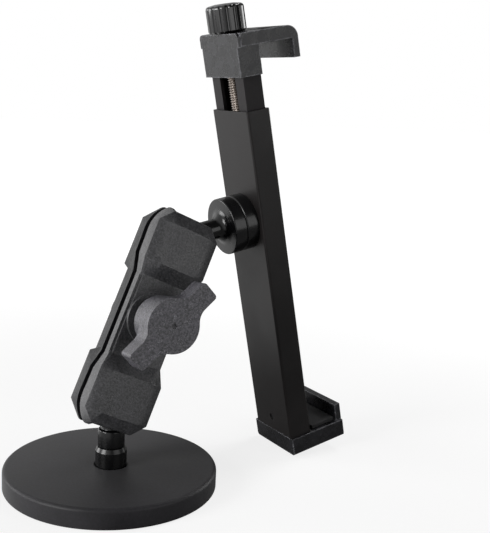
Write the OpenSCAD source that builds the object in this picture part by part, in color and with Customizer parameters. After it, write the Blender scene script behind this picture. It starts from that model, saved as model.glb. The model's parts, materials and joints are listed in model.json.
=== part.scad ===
// Desk stand for a tablet: a round rubber-coated magnet base, a double-socket
// arm that grips a ball at each end, and a screw-driven clamp with two jaws.
// Frame: +Z up, origin at the centre of the underside of the base. The clamp
// faces -Y, the wing knob of the arm is on the -X side.

/* [Base] */
// Outer diameter of the rubber jacket
base_d = 88; // [80:1:110]
// Thickness of the base without its bush
base_h = 8.5; // [8:0.5:12]
// Rubber outside the steel disc
jacket_wall = 3; // [2:0.1:5]
// Thickness of the steel disc
disc_t = 3; // [2:0.5:3.5]
// Rubber above the steel disc
jacket_top = 1; // [0.8:0.1:1.6]
// Rubber below the magnets
jacket_floor = 1; // [0.6:0.1:1.4]
// Number of disc magnets
magnet_count = 8; // [6:1:9]
// Diameter of one disc magnet
magnet_d = 18; // [14:1:19]
// Radius of the circle on which the magnets lie
magnet_ring_r = 28; // [25:1:29]

/* [Bush and lower ball stud] */
// Outer diameter of the threaded bush
bush_d = 13.1; // [12:0.1:16]
// Height of the bush above the base
bush_h = 8; // [6:0.5:12]
// Chamfer round the top of the bush
bush_chamfer = 0.8; // [0.4:0.1:1.2]
// Diameter of the flange that holds the bush under the steel disc
bush_flange_d = 18; // [16:0.5:20]
// Nominal thread diameter of the stud in the bush
stud_thread_d = 8; // [6:1:8]
// Diameter of the stud body
stud_d = 11.1; // [10:0.1:12]
// Height of the lower ball's centre above the table
lower_ball_z = 35.15; // [34:0.5:45]
// Distance from the lower ball's centre down to the stud's body
lower_neck_l = 10.95; // [10.5:0.05:11.5]
// Diameter of both balls
ball_d = 17; // [16:0.5:17.5]
// Diameter of the lower stud's neck
lower_neck_d = 8.5; // [7:0.1:9]

/* [Arm] */
// Distance between the centres of the two balls
arm_span = 72.4; // [68:0.5:110]
// Lean of the arm towards the clamp
arm_lean = 24.13; // [20:0.5:26]
// Sideways tilt of the arm
arm_roll = 6.66; // [4:0.5:7]
// Turn of the arm about the stud
arm_turn = -3.74; // [-30:1:30]
// Gap between the two halves when they are tight
arm_gap = 4.2; // [3:0.1:5]
// Width of the arm at its end pads
pad_w = 28.2; // [27:0.2:32]
// Width of the arm at its waist
waist_w = 24.2; // [22:0.2:26]
// Distance from the middle plane to the face of a pad
pad_face = 12; // [11.5:0.1:14]
// Distance from the middle plane to the edge of a pad's chamfer
pad_shoulder = 9.4; // [9:0.1:10.5]
// Distance from the middle plane to the front half's waist
waist_face = 7.5; // [7:0.1:8.5]
// Distance from the middle plane to the rear half's waist
rear_waist_face = 10.2; // [8:0.1:10.2]
// Reach of the round lip past the ball's centre
lip_reach = 10.9; // [10:0.1:12]
// Reach of the flat pad end past the ball's centre
pad_reach = 9.2; // [9:0.1:10.5]
// Distance from the ball's centre to the inner end of its pad
pad_back = 17.4; // [16:0.2:18]
// Distance from the ball's centre to where a pad's foot starts to narrow
pad_taper = 11; // [9:0.5:13]
// Lowest angle of a neck in its slot, from the arm's own line
slot_from = 0; // [-6:1:4]
// Highest angle of a neck in its slot
slot_to = 56; // [54:1:60]

/* [Arm bolt and wing knob] */
// Offset of the bolt from the middle of the arm, towards the upper ball
bolt_offset = 1.2; // [0:0.1:3]
// Nominal diameter of the clamp bolt
bolt_d = 6; // [5:0.5:6]
// Width of the bolt's hexagon head across flats
bolt_head_af = 10; // [9:0.5:11]
// Height of the bolt's head
bolt_head_h = 4; // [3:0.5:4]
// Length of the bolt under its head
bolt_length = 30; // [29:0.5:31]
// Diameter of the round bosses at the middle of the arm
boss_d = 22.4; // [20:0.2:23.6]
// Height of a boss above the waist
boss_h = 1.8; // [1.4:0.1:2.4]
// Thickness of the washer under the knob
washer_t = 1.2; // [0.8:0.1:1.6]
// Diameter of the washer under the knob
washer_d = 14; // [13:0.5:16]
// Diameter of the knob's round body
knob_d = 22; // [20:0.5:26]
// Length of the knob over its two wings
knob_span = 42; // [38:0.5:48]
// Width of a wing
wing_w = 8.4; // [7:0.2:10]
// Angle of the wings from the arm's width
wing_angle = 64; // [0:1:180]
// Thickness of the knob's round body
knob_t = 15.5; // [14:0.5:18]
// Thickness of the wings
wing_t = 9.8; // [8:0.2:12]
// Diameter of the knob's hub
hub_d = 17; // [14:0.5:18]
// Height of the hub below the knob's body
hub_h = 5; // [4:0.5:7]
// Diameter of the brass insert in the knob
insert_d = 9; // [8.5:0.1:10]
// Outer diameter of the spring between the halves
spring_d = 11.6; // [11:0.1:12]
// Diameter of the spring's wire
spring_wire = 1.2; // [1:0.1:1.4]
// Depth of the spring's seat in each half
spring_seat = 2.6; // [2:0.1:3]

/* [Upper ball stud] */
// Backward lean of the clamp
clamp_lean = 12.13; // [10:0.5:40]
// Diameter of the upper stud's neck
upper_neck_d = 8.9; // [7:0.1:9]
// Distance from the ball's centre to the stud's flange
flange_at = 22.4; // [21:0.2:30]
// Thickness of the stud's flange
flange_t = 5.6; // [4:0.1:8]
// Diameter of the flange and of the swivel collar
flange_d = 24.6; // [23.6:0.1:27]
// Thickness of the swivel collar
collar_t = 5.85; // [5.5:0.1:8]
// Diameter of the spigot that turns in the collar
spigot_d = 12; // [11:0.5:12.5]

/* [Clamp] */
// Width of the spine tube
tube_w = 29.2; // [29:0.2:34]
// Depth of the spine tube
tube_depth = 11.2; // [11.2:0.1:13]
// Front and back wall of the spine tube
tube_wall = 1; // [1:0.1:1.2]
// Side wall of the spine tube
tube_side = 1.6; // [1:0.1:1.8]
// Height of the tube's top above the stud's axis
tube_top = 48.1; // [47:0.5:60]
// Drop of the tube's lower end below the stud's axis
tube_drop = 101.4; // [95:0.5:101.8]
// Wall of the inner slider
slider_wall = 1.5; // [1.2:0.1:1.6]
// Width of the slot in the slider's back
slider_slot_w = 12.8; // [11:0.2:14]
// Reach of the slider below the stud's axis
slider_drop = 52; // [45:1:58]
// Height of the upper jaw's lower edge above the stud's axis
jaw_block_bottom = 62.2; // [61.7:0.1:75]
// Height of the upper jaw's block and cap together
jaw_block_h = 17.7; // [17:0.1:24]
// Thickness of the upper jaw's hook
hook_t = 5.4; // [5:0.1:7]
// Thickness of the lower jaw
lower_jaw_t = 8.2; // [7:0.1:8.4]
// Width of the lower jaw
lower_jaw_w = 31.6; // [31.4:0.2:36]
// Width of the upper jaw's hook
hook_w = 31.8; // [31.4:0.2:36]
// Reach of the jaws in front of the tube
jaw_reach = 17.25; // [14:0.25:24]
// Thickness of the lip at each jaw's front
lip_t = 2.9; // [2.4:0.1:4]
// Height of the lip at each jaw's front
lip_h = 8; // [5:0.5:12]
// Thickness of the rubber pads on the jaws
jaw_pad_t = 1.6; // [1.2:0.1:2]
// Width of the rubber pads on the jaws
jaw_pad_w = 27; // [22:0.5:28]
// Distance between the two screws of the upper jaw
jaw_screw_span = 16; // [12:0.5:17]
// Thickness of the rubber pad on the spine
spine_pad_t = 1.2; // [0.8:0.1:1.6]
// Length of the rubber pad on the spine
spine_pad_l = 134; // [100:1:138]
// Bare tube above the rubber pad
spine_pad_gap = 8; // [6:0.5:10]
// Width of the rubber pad on the spine
spine_pad_w = 23; // [18:0.5:26]

/* [Lead screw] */
// Nominal diameter of the lead screw
screw_d = 6; // [5:0.5:6]
// Pitch of the lead screw
screw_pitch = 1; // [1:0.25:1.5]
// Reach of the lead screw below the stud's axis
screw_drop = 22; // [16:1:30]
// Height of the nut's lower face above the stud's axis
nut_at = 34; // [32:0.5:36]
// Height of the nut
nut_h = 12; // [8:0.5:12]
// Diameter of the top knob
top_knob_d = 16; // [13:0.5:17]
// Diameter of the thrust washer under the top knob
thrust_d = 9; // [8.5:0.1:9.2]
// Thickness of the thrust washer
thrust_t = 1; // [0.6:0.1:1.4]
// Height of the top knob
top_knob_h = 11.8; // [9:0.1:14]
// Number of flutes round the top knob
flute_count = 16; // [12:1:20]

/* [Fits] */
// Radial play of a shaft that turns in its bore
running_fit = 0.1; // [0.05:0.01:0.1]
// Play between parts that slide
slide_gap = 0.2; // [0.2:0.05:0.3]
// Play round fasteners and parts that are only held
loose_fit = 0.2; // [0.15:0.05:0.3]

/* [Hidden] */
$fn = 96;

rubber_colour = "#4b4b4e";
plastic_colour = "#46464a";
gloss_colour = "#1c1c1e";
steel_colour = "#b8bcc0";
brass_colour = "#c8a850";
spine_colour = "#3a3a3c";

// base levels
disc_d = base_d - 2 * jacket_wall;
disc_bottom = base_h - jacket_top - disc_t;
bush_top = base_h + bush_h;
bush_flange_t = 2;
stud_bore_floor = disc_bottom - bush_flange_t + 0.8;
stud_shoulder = bush_top + running_fit;
stud_body_top = lower_ball_z - lower_neck_l;
ball_r = ball_d / 2;
socket_r = ball_r + running_fit;

// places of the two balls
upper_ball = [
    arm_span * (sin(arm_roll) * cos(arm_lean) * cos(arm_turn) + sin(arm_lean) * sin(arm_turn)),
    arm_span * (sin(arm_roll) * cos(arm_lean) * sin(arm_turn) - sin(arm_lean) * cos(arm_turn)),
    lower_ball_z + arm_span * cos(arm_roll) * cos(arm_lean)
];

// stack of the arm's bolt, washer and knob, measured out from the middle plane
bolt_up = arm_span / 2 + bolt_offset;
boss_face = waist_face + boss_h;
washer_seat = boss_face - washer_t * 0.75;
washer_face = washer_seat + washer_t;
hub_face = washer_face + 0.1;
body_back = hub_face + hub_h;
knob_face = body_back + knob_t;
wing_back = knob_face - wing_t;
bolt_seat = rear_waist_face + boss_h - bolt_head_h;
spring_length = arm_gap + 2 * spring_seat - 0.1;

// levels of the clamp: n is the distance from the upper ball towards the tablet
collar_back = flange_at + flange_t + slide_gap;
tube_back = collar_back + collar_t;
tube_front = tube_back + tube_depth;
tube_inner_back = tube_back + tube_wall;
tube_inner_front = tube_front - tube_wall;
slider_back = tube_inner_back + slide_gap;
slider_front = tube_inner_front - slide_gap;
slider_w = tube_w - 2 * (tube_side + slide_gap);
screw_n = slider_back + screw_d / 2 + 0.35;
jaw_front = tube_front + jaw_reach;
jaw_back = tube_back - 0.7;
jaw_top = jaw_block_bottom + jaw_block_h;
hook_bottom = jaw_top - hook_t;
core_bottom = jaw_block_bottom + 1.8;
lower_jaw_bottom = -tube_drop - lower_jaw_t;
screw_bore_d = screw_d + 4 * running_fit;
spine_pad_front = tube_front + spine_pad_t;
ring_groove_n = collar_back + 2.1;
ring_t = 1;
collar_screw_r = 10.2;
plug_h = 14.4;
jaw_screw_up = -tube_drop + 6.4;

// ---------------------------------------------------------------- helpers
module arm_place() {
    translate([0, 0, lower_ball_z]) rotate([arm_lean, arm_roll, arm_turn]) children();
}

module clamp_place() {
    translate(upper_ball) rotate([-clamp_lean, 0, 0]) children();
}

// turns +Z into the arm's crosswise direction, away from the knob
module crosswise() {
    translate([0, 0, bolt_up]) rotate([0, 90, 0]) children();
}

// turns +Z into the direction from the upper ball to the tablet
module forwards() {
    rotate([90, 0, 0]) children();
}

// box between limits: x, n towards the tablet, u up the clamp
module slab(x, n, u) {
    translate([x[0], -n[1], u[0]]) cube([x[1] - x[0], n[1] - n[0], u[1] - u[0]]);
}

// outline in x and u, extruded from n0 to n1
module along_n(n0, n1) {
    translate([0, -n0, 0]) rotate([90, 0, 0]) linear_extrude(n1 - n0) children();
}

// outline in n and u, extruded over the width w
module along_x(w) {
    translate([w / 2, 0, 0]) rotate([90, 0, -90]) linear_extrude(w) children();
}

module rounded_rect(w, h, r) {
    square([w - 2 * r, h], center = true);
    square([w, h - 2 * r], center = true);
    for (sx = [-1, 1], sy = [-1, 1])
        translate([sx * (w / 2 - r), sy * (h / 2 - r)]) circle(r);
}

module ring(outer_d, inner_d, h) {
    difference() {
        cylinder(d = outer_d, h = h);
        translate([0, 0, -1]) cylinder(d = inner_d, h = h + 2);
    }
}

// ------------------------------------------------------------------- base
module base_jacket() {
    rim = 1.6;
    foot = 0.8;
    color(rubber_colour) difference() {
        rotate_extrude() {
            square([base_d / 2 - rim, base_h]);
            translate([0, foot]) square([base_d / 2, base_h - foot - rim]);
            square([base_d / 2 - foot, base_h - rim]);
            translate([base_d / 2 - rim, base_h - rim]) circle(rim);
            translate([base_d / 2 - foot, foot]) circle(foot);
        }
        translate([0, 0, disc_bottom]) cylinder(d = disc_d, h = disc_t);
        translate([0, 0, disc_bottom - bush_flange_t])
            cylinder(d = bush_flange_d, h = bush_flange_t + 0.1);
        translate([0, 0, disc_bottom]) cylinder(d = bush_d, h = base_h);
        magnet_places() cylinder(d = magnet_d, h = disc_bottom - jacket_floor + 0.1);
    }
}

module magnet_places() {
    for (i = [0 : magnet_count - 1])
        rotate(i * 360 / magnet_count) translate([magnet_ring_r, 0, jacket_floor]) children();
}

module base_steel_disc() {
    color(steel_colour) translate([0, 0, disc_bottom]) ring(disc_d, bush_d, disc_t);
}

module base_magnets() {
    color(steel_colour) magnet_places()
        cylinder(d = magnet_d, h = disc_bottom - jacket_floor);
}

module base_bush() {
    color(gloss_colour) difference() {
        union() {
            translate([0, 0, disc_bottom - bush_flange_t])
                cylinder(d = bush_flange_d, h = bush_flange_t);
            translate([0, 0, disc_bottom])
                cylinder(d = bush_d, h = bush_top - bush_chamfer * 2 - disc_bottom);
            translate([0, 0, bush_top - bush_chamfer * 2])
                cylinder(d1 = bush_d, d2 = bush_d - 2 * bush_chamfer, h = bush_chamfer * 2);
        }
        translate([0, 0, stud_bore_floor]) cylinder(d = stud_thread_d, h = base_h + bush_h);
    }
}

module lower_ball_stud() {
    neck_r = lower_neck_d / 2;
    color(gloss_colour) {
        translate([0, 0, stud_bore_floor + 1])
            cylinder(d = stud_thread_d - 2 * running_fit, h = stud_shoulder - stud_bore_floor);
        translate([0, 0, stud_shoulder])
            cylinder(d = stud_d, h = stud_body_top - stud_shoulder - 0.6);
        translate([0, 0, stud_body_top - 0.6])
            cylinder(d1 = stud_d, d2 = stud_d - 1.2, h = 0.6);
        cylinder_between(stud_body_top - 0.1, lower_ball_z, neck_r);
        translate([0, 0, lower_ball_z]) sphere(ball_r);
    }
}

module cylinder_between(from, to, r) {
    translate([0, 0, from]) cylinder(r = r, h = to - from);
}

// -------------------------------------------------------------------- arm
// Outlines are in y and z, z measured from a ball's centre towards the arm's end.
pad_half = pad_w / 2;
waist_half = waist_w / 2;

module mirrored_outline(points) {
    polygon(concat(points, [for (i = [len(points) - 1 : -1 : 0]) [-points[i][0], points[i][1]]]));
}

module lip_outline() {
    intersection() {
        circle(pad_half + 0.3);
        translate([-pad_w, -pad_w]) square([2 * pad_w, pad_w + lip_reach]);
    }
}

module foot_outline() {
    mirrored_outline([
        [pad_half, 0], [pad_half, -pad_taper], [waist_half + 0.2, -pad_back],
        [waist_half - 0.4, -pad_back - 2.6]
    ]);
}

// corner: how far the pad's inner corners are cut
module shoulder_outline(corner) {
    mirrored_outline([
        [pad_half - 5, pad_reach], [pad_half, 4.2], [pad_half, corner - pad_back],
        [pad_half - 1.2 * corner, 0.2 - pad_back]
    ]);
}

module face_outline() {
    mirrored_outline([
        [pad_half - 6.5, pad_reach - 4.8], [pad_half - 4.8, 2], [pad_half - 5, 7.2 - pad_back],
        [pad_half - 7.3, 4.4 - pad_back]
    ]);
}

// slice of an outline, x from a to b out from the middle plane
module out_slice(a, b) {
    translate([a, 0, 0]) rotate([90, 0, 90]) linear_extrude(b - a) children();
}

module arm_pad(foot_face, corner) {
    hull() {
        out_slice(arm_gap / 2, arm_gap / 2 + 2.2, $fn = 40) lip_outline($fn = 40);
        out_slice(arm_gap / 2, foot_face) foot_outline();
        out_slice(pad_shoulder - 0.05, pad_shoulder) shoulder_outline(corner);
        out_slice(pad_face - 0.05, pad_face) face_outline();
    }
}

// path of a neck of half width w as its stud swings in the arm's plane
module swing_outline(w, inner_r) {
    reach = pad_half + 4;
    middle = (slot_from + slot_to) / 2;
    function along(a) = [-sin(a), cos(a)];
    function across(a) = [cos(a), sin(a)];
    difference() {
        polygon([
            w * across(slot_from), w * across(slot_from) + reach * along(slot_from),
            1.6 * reach * along(middle),
            reach * along(slot_to) - w * across(slot_to), -w * across(slot_to)
        ]);
        circle(inner_r);
    }
}

module neck_slot() {
    neck_half = lower_neck_d / 2 + 1.6;
    stud_half = stud_d / 2 + 2.1;
    rim_rise = stud_d / 2 * sin(arm_roll);
    out_slice(-1, neck_half) swing_outline(neck_half, ball_r - 4);
    out_slice(-1, stud_half)
        swing_outline(stud_half, lower_neck_l - rim_rise - 0.6);
}

module arm_half_blank(waist, foot_face, corner) {
    edge = 1.2;
    lap = 7;
    waist_l = arm_span - 2 * (pad_back - lap);
    translate([0, 0, arm_span]) arm_pad(foot_face, corner);
    mirror([0, 0, 1]) arm_pad(foot_face, corner);
    translate([0, 0, arm_span / 2]) {
        out_slice(arm_gap / 2, waist - edge) square([waist_w, waist_l], center = true);
        out_slice(waist - edge - 0.1, waist) square([waist_w - 2 * edge, waist_l], center = true);
    }
    crosswise() translate([0, 0, waist - 1]) cylinder(d = boss_d, h = boss_h + 1);
}

module arm_half(waist, foot_face, corner) {
    difference() {
        arm_half_blank(waist, foot_face, corner);
        sphere(socket_r);
        translate([0, 0, arm_span]) sphere(socket_r);
        mirror([0, 0, 1]) neck_slot();
        translate([0, 0, arm_span]) neck_slot();
        crosswise() {
            cylinder(d = bolt_d + 2 * loose_fit, h = 2 * pad_face);
            cylinder(d = spring_d + 2 * loose_fit, h = arm_gap / 2 + spring_seat);
        }
    }
}

module arm_half_rear() {
    color(plastic_colour) arm_place() difference() {
        arm_half(rear_waist_face, arm_gap / 2 + 1.9, 0.5);
        crosswise() translate([0, 0, bolt_seat]) hexagon(bolt_head_af + 2 * loose_fit, 2 * bolt_head_h);
    }
}

module arm_half_front() {
    color(plastic_colour) arm_place() difference() {
        mirror([1, 0, 0]) arm_half(waist_face, waist_face - 1, 5);
        mirror([1, 0, 0]) crosswise() translate([0, 0, washer_seat])
            cylinder(d = washer_d + 2 * loose_fit, h = washer_t + 1);
    }
}

module hexagon(across_flats, h) {
    rotate(30) cylinder(r = across_flats / sqrt(3), h = h, $fn = 6);
}

module clamp_bolt() {
    color(steel_colour) arm_place() crosswise() {
        translate([0, 0, bolt_seat]) hexagon(bolt_head_af, bolt_head_h);
        translate([0, 0, bolt_seat - bolt_length + 0.5])
            cylinder(d = bolt_d - 2 * running_fit, h = bolt_length);
        translate([0, 0, bolt_seat - bolt_length])
            cylinder(d1 = bolt_d - 1.2, d2 = bolt_d - 2 * running_fit, h = 0.5);
    }
}

// round wire swept along a helix about +Z, with its ends flattened to the length
spring_turns = 3.5;
wire_sides = 8;
wire_steps = 14;
function spring_point(i, j) =
    let (
        count = spring_turns * wire_steps,
        turn = 360 * i / wire_steps,
        rise = (spring_length - spring_wire) * i / count,
        a = 360 * j / wire_sides,
        r = spring_d / 2 - spring_wire / 2 + spring_wire / 2 * cos(a)
    )
    [r * cos(turn), r * sin(turn), spring_wire / 2 + rise + spring_wire / 2 * sin(a)];

module helix_wire() {
    count = spring_turns * wire_steps;
    points = [for (i = [0 : count], j = [0 : wire_sides - 1]) spring_point(i, j)];
    sides = [
        for (i = [0 : count - 1], j = [0 : wire_sides - 1])
            let (k = (j + 1) % wire_sides)
            [i * wire_sides + j, (i + 1) * wire_sides + j, (i + 1) * wire_sides + k, i * wire_sides + k]
    ];
    first = [for (j = [0 : wire_sides - 1]) j];
    last = [for (j = [wire_sides - 1 : -1 : 0]) count * wire_sides + j];
    polyhedron(points, concat(sides, [first], [last]));
}

module arm_spring() {
    color(steel_colour) arm_place() crosswise()
        translate([0, 0, -spring_length / 2]) helix_wire();
}

module knob_washer() {
    color(steel_colour) arm_place() mirror([1, 0, 0]) crosswise()
        translate([0, 0, washer_seat]) ring(washer_d, bolt_d + 2 * loose_fit, washer_t);
}

module wing_outline() {
    blend = 7;
    rotate(wing_angle - 90) offset(r = -blend, $fn = 48) offset(r = blend, $fn = 48) {
        circle(d = knob_d, $fn = 64);
        rounded_rect(wing_w, knob_span, 1.4, $fn = 20);
    }
}

module wing_knob() {
    color(plastic_colour) arm_place() mirror([1, 0, 0]) crosswise() difference() {
        union() {
            cylinder_between(hub_face, body_back + 1, hub_d / 2);
            cylinder_between(body_back, wing_back + 1, knob_d / 2 - 0.3);
            translate([0, 0, wing_back]) rotate(90) mirror([1, 0, 0])
                linear_extrude(wing_t) wing_outline();
        }
        translate([0, 0, hub_face - 1]) cylinder(d = insert_d, h = insert_h + 1);
        translate([0, 0, hub_face]) cylinder(d = bolt_d + 2 * loose_fit, h = knob_bore_h);
        translate([0, 0, knob_face - 0.8]) cylinder(d = 2.2, h = 1);
    }
}
insert_h = 9;
knob_bore_h = bolt_length - bolt_seat - hub_face + 1.5;

module knob_insert() {
    color(brass_colour) arm_place() mirror([1, 0, 0]) crosswise()
        translate([0, 0, hub_face]) ring(insert_d, bolt_d, insert_h);
}

// ------------------------------------------------------- upper ball stud
module upper_ball_stud() {
    neck_r = upper_neck_d / 2;
    flare = 4.2;
    edge = 0.6;
    flange_r = flange_d / 2;
    spigot_end = ring_groove_n + ring_t + 1.1;
    color(gloss_colour) clamp_place() forwards() difference() {
        union() {
            sphere(ball_r);
            rotate_extrude() {
                square([neck_r, flange_at + 0.1]);
                difference() {
                    translate([0, flange_at - flare]) square([neck_r + flare, flare + 0.1]);
                    translate([neck_r + flare, flange_at - flare]) circle(flare);
                }
                translate([0, flange_at]) polygon([
                    [0, 0], [flange_r - edge, 0], [flange_r, edge], [flange_r, flange_t - edge / 2],
                    [flange_r - edge / 2, flange_t], [0, flange_t]
                ]);
            }
            cylinder_between(flange_at + 1, spigot_end, spigot_d / 2 - running_fit);
        }
        translate([0, 0, ring_groove_n]) ring(spigot_d + 2, spigot_d - 2, ring_t + 0.1);
    }
}

module stud_retaining_ring() {
    color(steel_colour) clamp_place() forwards() translate([0, 0, ring_groove_n + 0.05])
        difference() {
            ring(spigot_d + 3.4, spigot_d - 2, ring_t);
            translate([0, -1.5, -1]) cube([spigot_d, 3, ring_t + 2]);
        }
}

module collar_screw_places() {
    for (i = [0 : 3]) rotate(45 + 90 * i) translate([collar_screw_r, 0, 0]) children();
}

module swivel_collar() {
    pocket_n = ring_groove_n - 0.1;
    edge = 0.5;
    color(gloss_colour) clamp_place() forwards() difference() {
        union() {
            translate([0, 0, collar_back])
                cylinder(d1 = flange_d - 2 * edge, d2 = flange_d, h = edge);
            cylinder_between(collar_back + edge, tube_back, flange_d / 2);
        }
        cylinder_between(collar_back - 1, tube_back, spigot_d / 2);
        cylinder_between(pocket_n, tube_back + 1, spigot_d / 2 + 2.3);
        collar_screw_places() cylinder_between(tube_back - collar_screw_l, tube_back + 1, 1);
    }
}
collar_screw_l = 4.2;

module collar_screws() {
    head_h = 0.9;
    color(steel_colour) clamp_place() forwards() collar_screw_places() {
        cylinder_between(tube_back - collar_screw_l + 0.2, tube_inner_back - head_h, 1);
        translate([0, 0, tube_inner_back - head_h]) cylinder(r1 = 1, r2 = 1.9, h = head_h);
    }
}

// ------------------------------------------------------------ clamp frame
module tube_outline(side, wall) {
    translate([0, -(tube_back + tube_front) / 2])
        rounded_rect(tube_w - 2 * side, tube_depth - 2 * wall, 1.1 - wall * 0.6);
}

module spine_tube() {
    head_h = 0.9;
    color(spine_colour) clamp_place() difference() {
        union() {
            difference() {
                translate([0, 0, -tube_drop]) linear_extrude(tube_drop + tube_top) tube_outline(0, 0);
                translate([0, 0, -tube_drop - 1])
                    linear_extrude(tube_drop + tube_top + 2) tube_outline(tube_side, tube_wall);
            }
            for (u = [nut_at - nut_rib - 0.1, nut_at + nut_h + 0.1])
                slab([-6.4, 6.4], [tube_inner_back - 0.2, tube_inner_back + 0.3], [u, u + nut_rib]);
        }
        forwards() collar_screw_places() {
            cylinder_between(tube_back - 1, tube_front, 1);
            translate([0, 0, tube_inner_back - head_h]) cylinder(r1 = 1, r2 = 1.9, h = head_h);
            cylinder_between(tube_inner_back, tube_inner_back + 0.5, 1.9);
            cylinder_between(tube_inner_front - 1, tube_front + 1, 2.4);
        }
        translate([0, 0, jaw_screw_up]) forwards() cylinder_between(tube_back - 1, tube_back + 2, 1.6);
    }
}
nut_rib = 1.2;

module spine_pad() {
    color(rubber_colour) clamp_place()
        along_n(tube_front, spine_pad_front) translate([0, tube_top - spine_pad_gap - spine_pad_l / 2])
            rounded_rect(spine_pad_w, spine_pad_l, 3);
}

module screw_nut() {
    neck_w = slider_slot_w - 4 * slide_gap;
    body_w = slider_w - 2 * slider_wall - 4 * slide_gap;
    body_n = [slider_back + slider_wall + slide_gap, slider_front - slider_wall - slide_gap];
    u = [nut_at, nut_at + nut_h];
    color(brass_colour) clamp_place() difference() {
        union() {
            slab([-neck_w / 2, neck_w / 2], [tube_inner_back, body_n[0] + 1], u);
            slab([-body_w / 2, body_w / 2], body_n, u);
        }
        translate([0, -screw_n, nut_at - 1]) cylinder(d = screw_d + running_fit, h = nut_h + 2);
    }
}

module lower_jaw() {
    corner = 1.4;
    plug_play = 0.05;
    hollow_w = tube_w - 2 * tube_side - 6;
    color(spine_colour) clamp_place() difference() {
        union() {
            along_n(tube_back, jaw_front) translate([0, lower_jaw_bottom + lower_jaw_t / 2]) {
                rounded_rect(lower_jaw_w, lower_jaw_t, corner);
                translate([0, corner]) square([lower_jaw_w, lower_jaw_t - 2 * corner], center = true);
            }
            slab([-lower_jaw_w / 2 + 1, lower_jaw_w / 2 - 1], [jaw_front - lip_t, jaw_front],
                 [-tube_drop - 1, lip_h - tube_drop]);
            translate([0, 0, -tube_drop - 1])
                linear_extrude(plug_h + 1)
                    tube_outline(tube_side + plug_play, tube_wall + plug_play);
        }
        slab([-hollow_w / 2, hollow_w / 2], [tube_inner_back + 4, tube_inner_front - 1.4],
             [2 - tube_drop, plug_h - tube_drop + 1]);
        translate([0, 0, jaw_screw_up]) forwards() cylinder_between(tube_back, tube_inner_back + 5, 1.25);
    }
}

module lower_jaw_pad() {
    color(rubber_colour) clamp_place()
        slab([-jaw_pad_w / 2, jaw_pad_w / 2], [spine_pad_front + 0.4, jaw_front - lip_t - 0.2],
             [-tube_drop, jaw_pad_t - tube_drop]);
}

module lower_jaw_screw() {
    color(gloss_colour) clamp_place() translate([0, 0, jaw_screw_up]) forwards() {
        cylinder_between(tube_back + 0.4, tube_inner_back + 0.05, 1.6);
        cylinder_between(tube_inner_back, tube_inner_back + 3.4, 1.25);
    }
}

// ------------------------------------------------- upper jaw and slider
module inner_slider() {
    depth = slider_front - slider_back;
    top = hook_bottom - 0.2;
    web_screw_n = slider_front - slider_wall - 1;
    color(spine_colour) clamp_place() difference() {
        slab([-slider_w / 2, slider_w / 2], [slider_back, slider_front], [-slider_drop, top]);
        slab([slider_wall - slider_w / 2, slider_w / 2 - slider_wall],
             [slider_back + slider_wall, slider_front - slider_wall], [-slider_drop - 1, top + 1]);
        slab([-slider_slot_w / 2, slider_slot_w / 2], [slider_back - 1, slider_front - depth / 2],
             [-slider_drop - 1, top + 1]);
        jaw_screw_places() cylinder_between(web_screw_n, slider_front + 1, jaw_screw_r);
    }
}
jaw_screw_r = 1.25;
jaw_screw_head = 1.2;
jaw_screw_grip = 3;

module jaw_screw_places() {
    for (x = [-jaw_screw_span / 2, jaw_screw_span / 2])
        translate([x, 0, (core_bottom + hook_bottom) / 2]) forwards() children();
}

module jaw_screws() {
    color(steel_colour) clamp_place() jaw_screw_places() {
        cylinder_between(slider_front - slider_wall - jaw_screw_grip, slider_front, jaw_screw_r);
        cylinder_between(slider_front, slider_front + jaw_screw_head, 2.3);
    }
}

module hook_profile() {
    r = 5;
    front = jaw_front - r;
    translate([jaw_back + 1.35, hook_bottom]) square([front - jaw_back - 1.35, hook_t]);
    translate([front, jaw_top - r]) circle(r);
    translate([front, jaw_top - lip_h - hook_t]) square([r, lip_h + hook_t - r]);
}

module upper_jaw() {
    block_w = tube_w;
    core_w = slider_w - 2 * slider_wall - 0.3;
    core_front = slider_front - slider_wall - 0.15;
    color(spine_colour) clamp_place() difference() {
        union() {
            difference() {
                slab([-block_w / 2, block_w / 2], [jaw_back, slider_front - 0.2],
                     [jaw_block_bottom, hook_bottom + 1]);
                slab([-slider_w / 2 - 0.05, slider_w / 2 + 0.05], [slider_back - 0.05, slider_front + 1],
                     [jaw_block_bottom - 1, hook_bottom]);
            }
            slab([-slider_slot_w / 2 + 0.2, slider_slot_w / 2 - 0.2], [jaw_back, slider_back + 3],
                 [core_bottom, hook_bottom + 1]);
            slab([-core_w / 2, core_w / 2], [slider_back + slider_wall + 0.15, core_front],
                 [core_bottom, hook_bottom + 1]);
            along_n(jaw_back, jaw_back + 1.5) translate([0, jaw_top - cap_h / 2]) {
                rounded_rect(hook_w - 0.6, cap_h, 1.9);
                translate([0, -cap_h / 4]) square([hook_w - 0.6, cap_h / 2], center = true);
            }
            along_x(hook_w) difference() {
                hook_profile();
                translate([0, jaw_top - lip_h - hook_t - 1])
                    square([jaw_front - lip_t, lip_h + 1]);
            }
        }
        slab([hook_rim - hook_w / 2, hook_w / 2 - hook_rim], [spine_pad_front, jaw_front - 6],
             [jaw_top - 0.8, jaw_top + 1]);
        slab([-jaw_pad_w / 2, jaw_pad_w / 2], [spine_pad_front + 0.4, jaw_front - lip_t - 0.2],
             [hook_bottom - 1, hook_bottom + jaw_pad_t - 0.3]);
        translate([0, -screw_n, 0]) {
            cylinder_between(jaw_block_bottom - 1, core_bottom, clip_d / 2 + loose_fit);
            cylinder_between(core_bottom - 1, jaw_top + 1, screw_bore_d / 2);
            cylinder_between(jaw_top - thrust_t, jaw_top + 1, thrust_d / 2 + running_fit);
        }
        jaw_screw_places() cylinder_between(core_front - jaw_screw_grip - 0.2, core_front + 1, jaw_screw_r);
    }
}
cap_h = 5.6;
hook_rim = 2.4;

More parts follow.
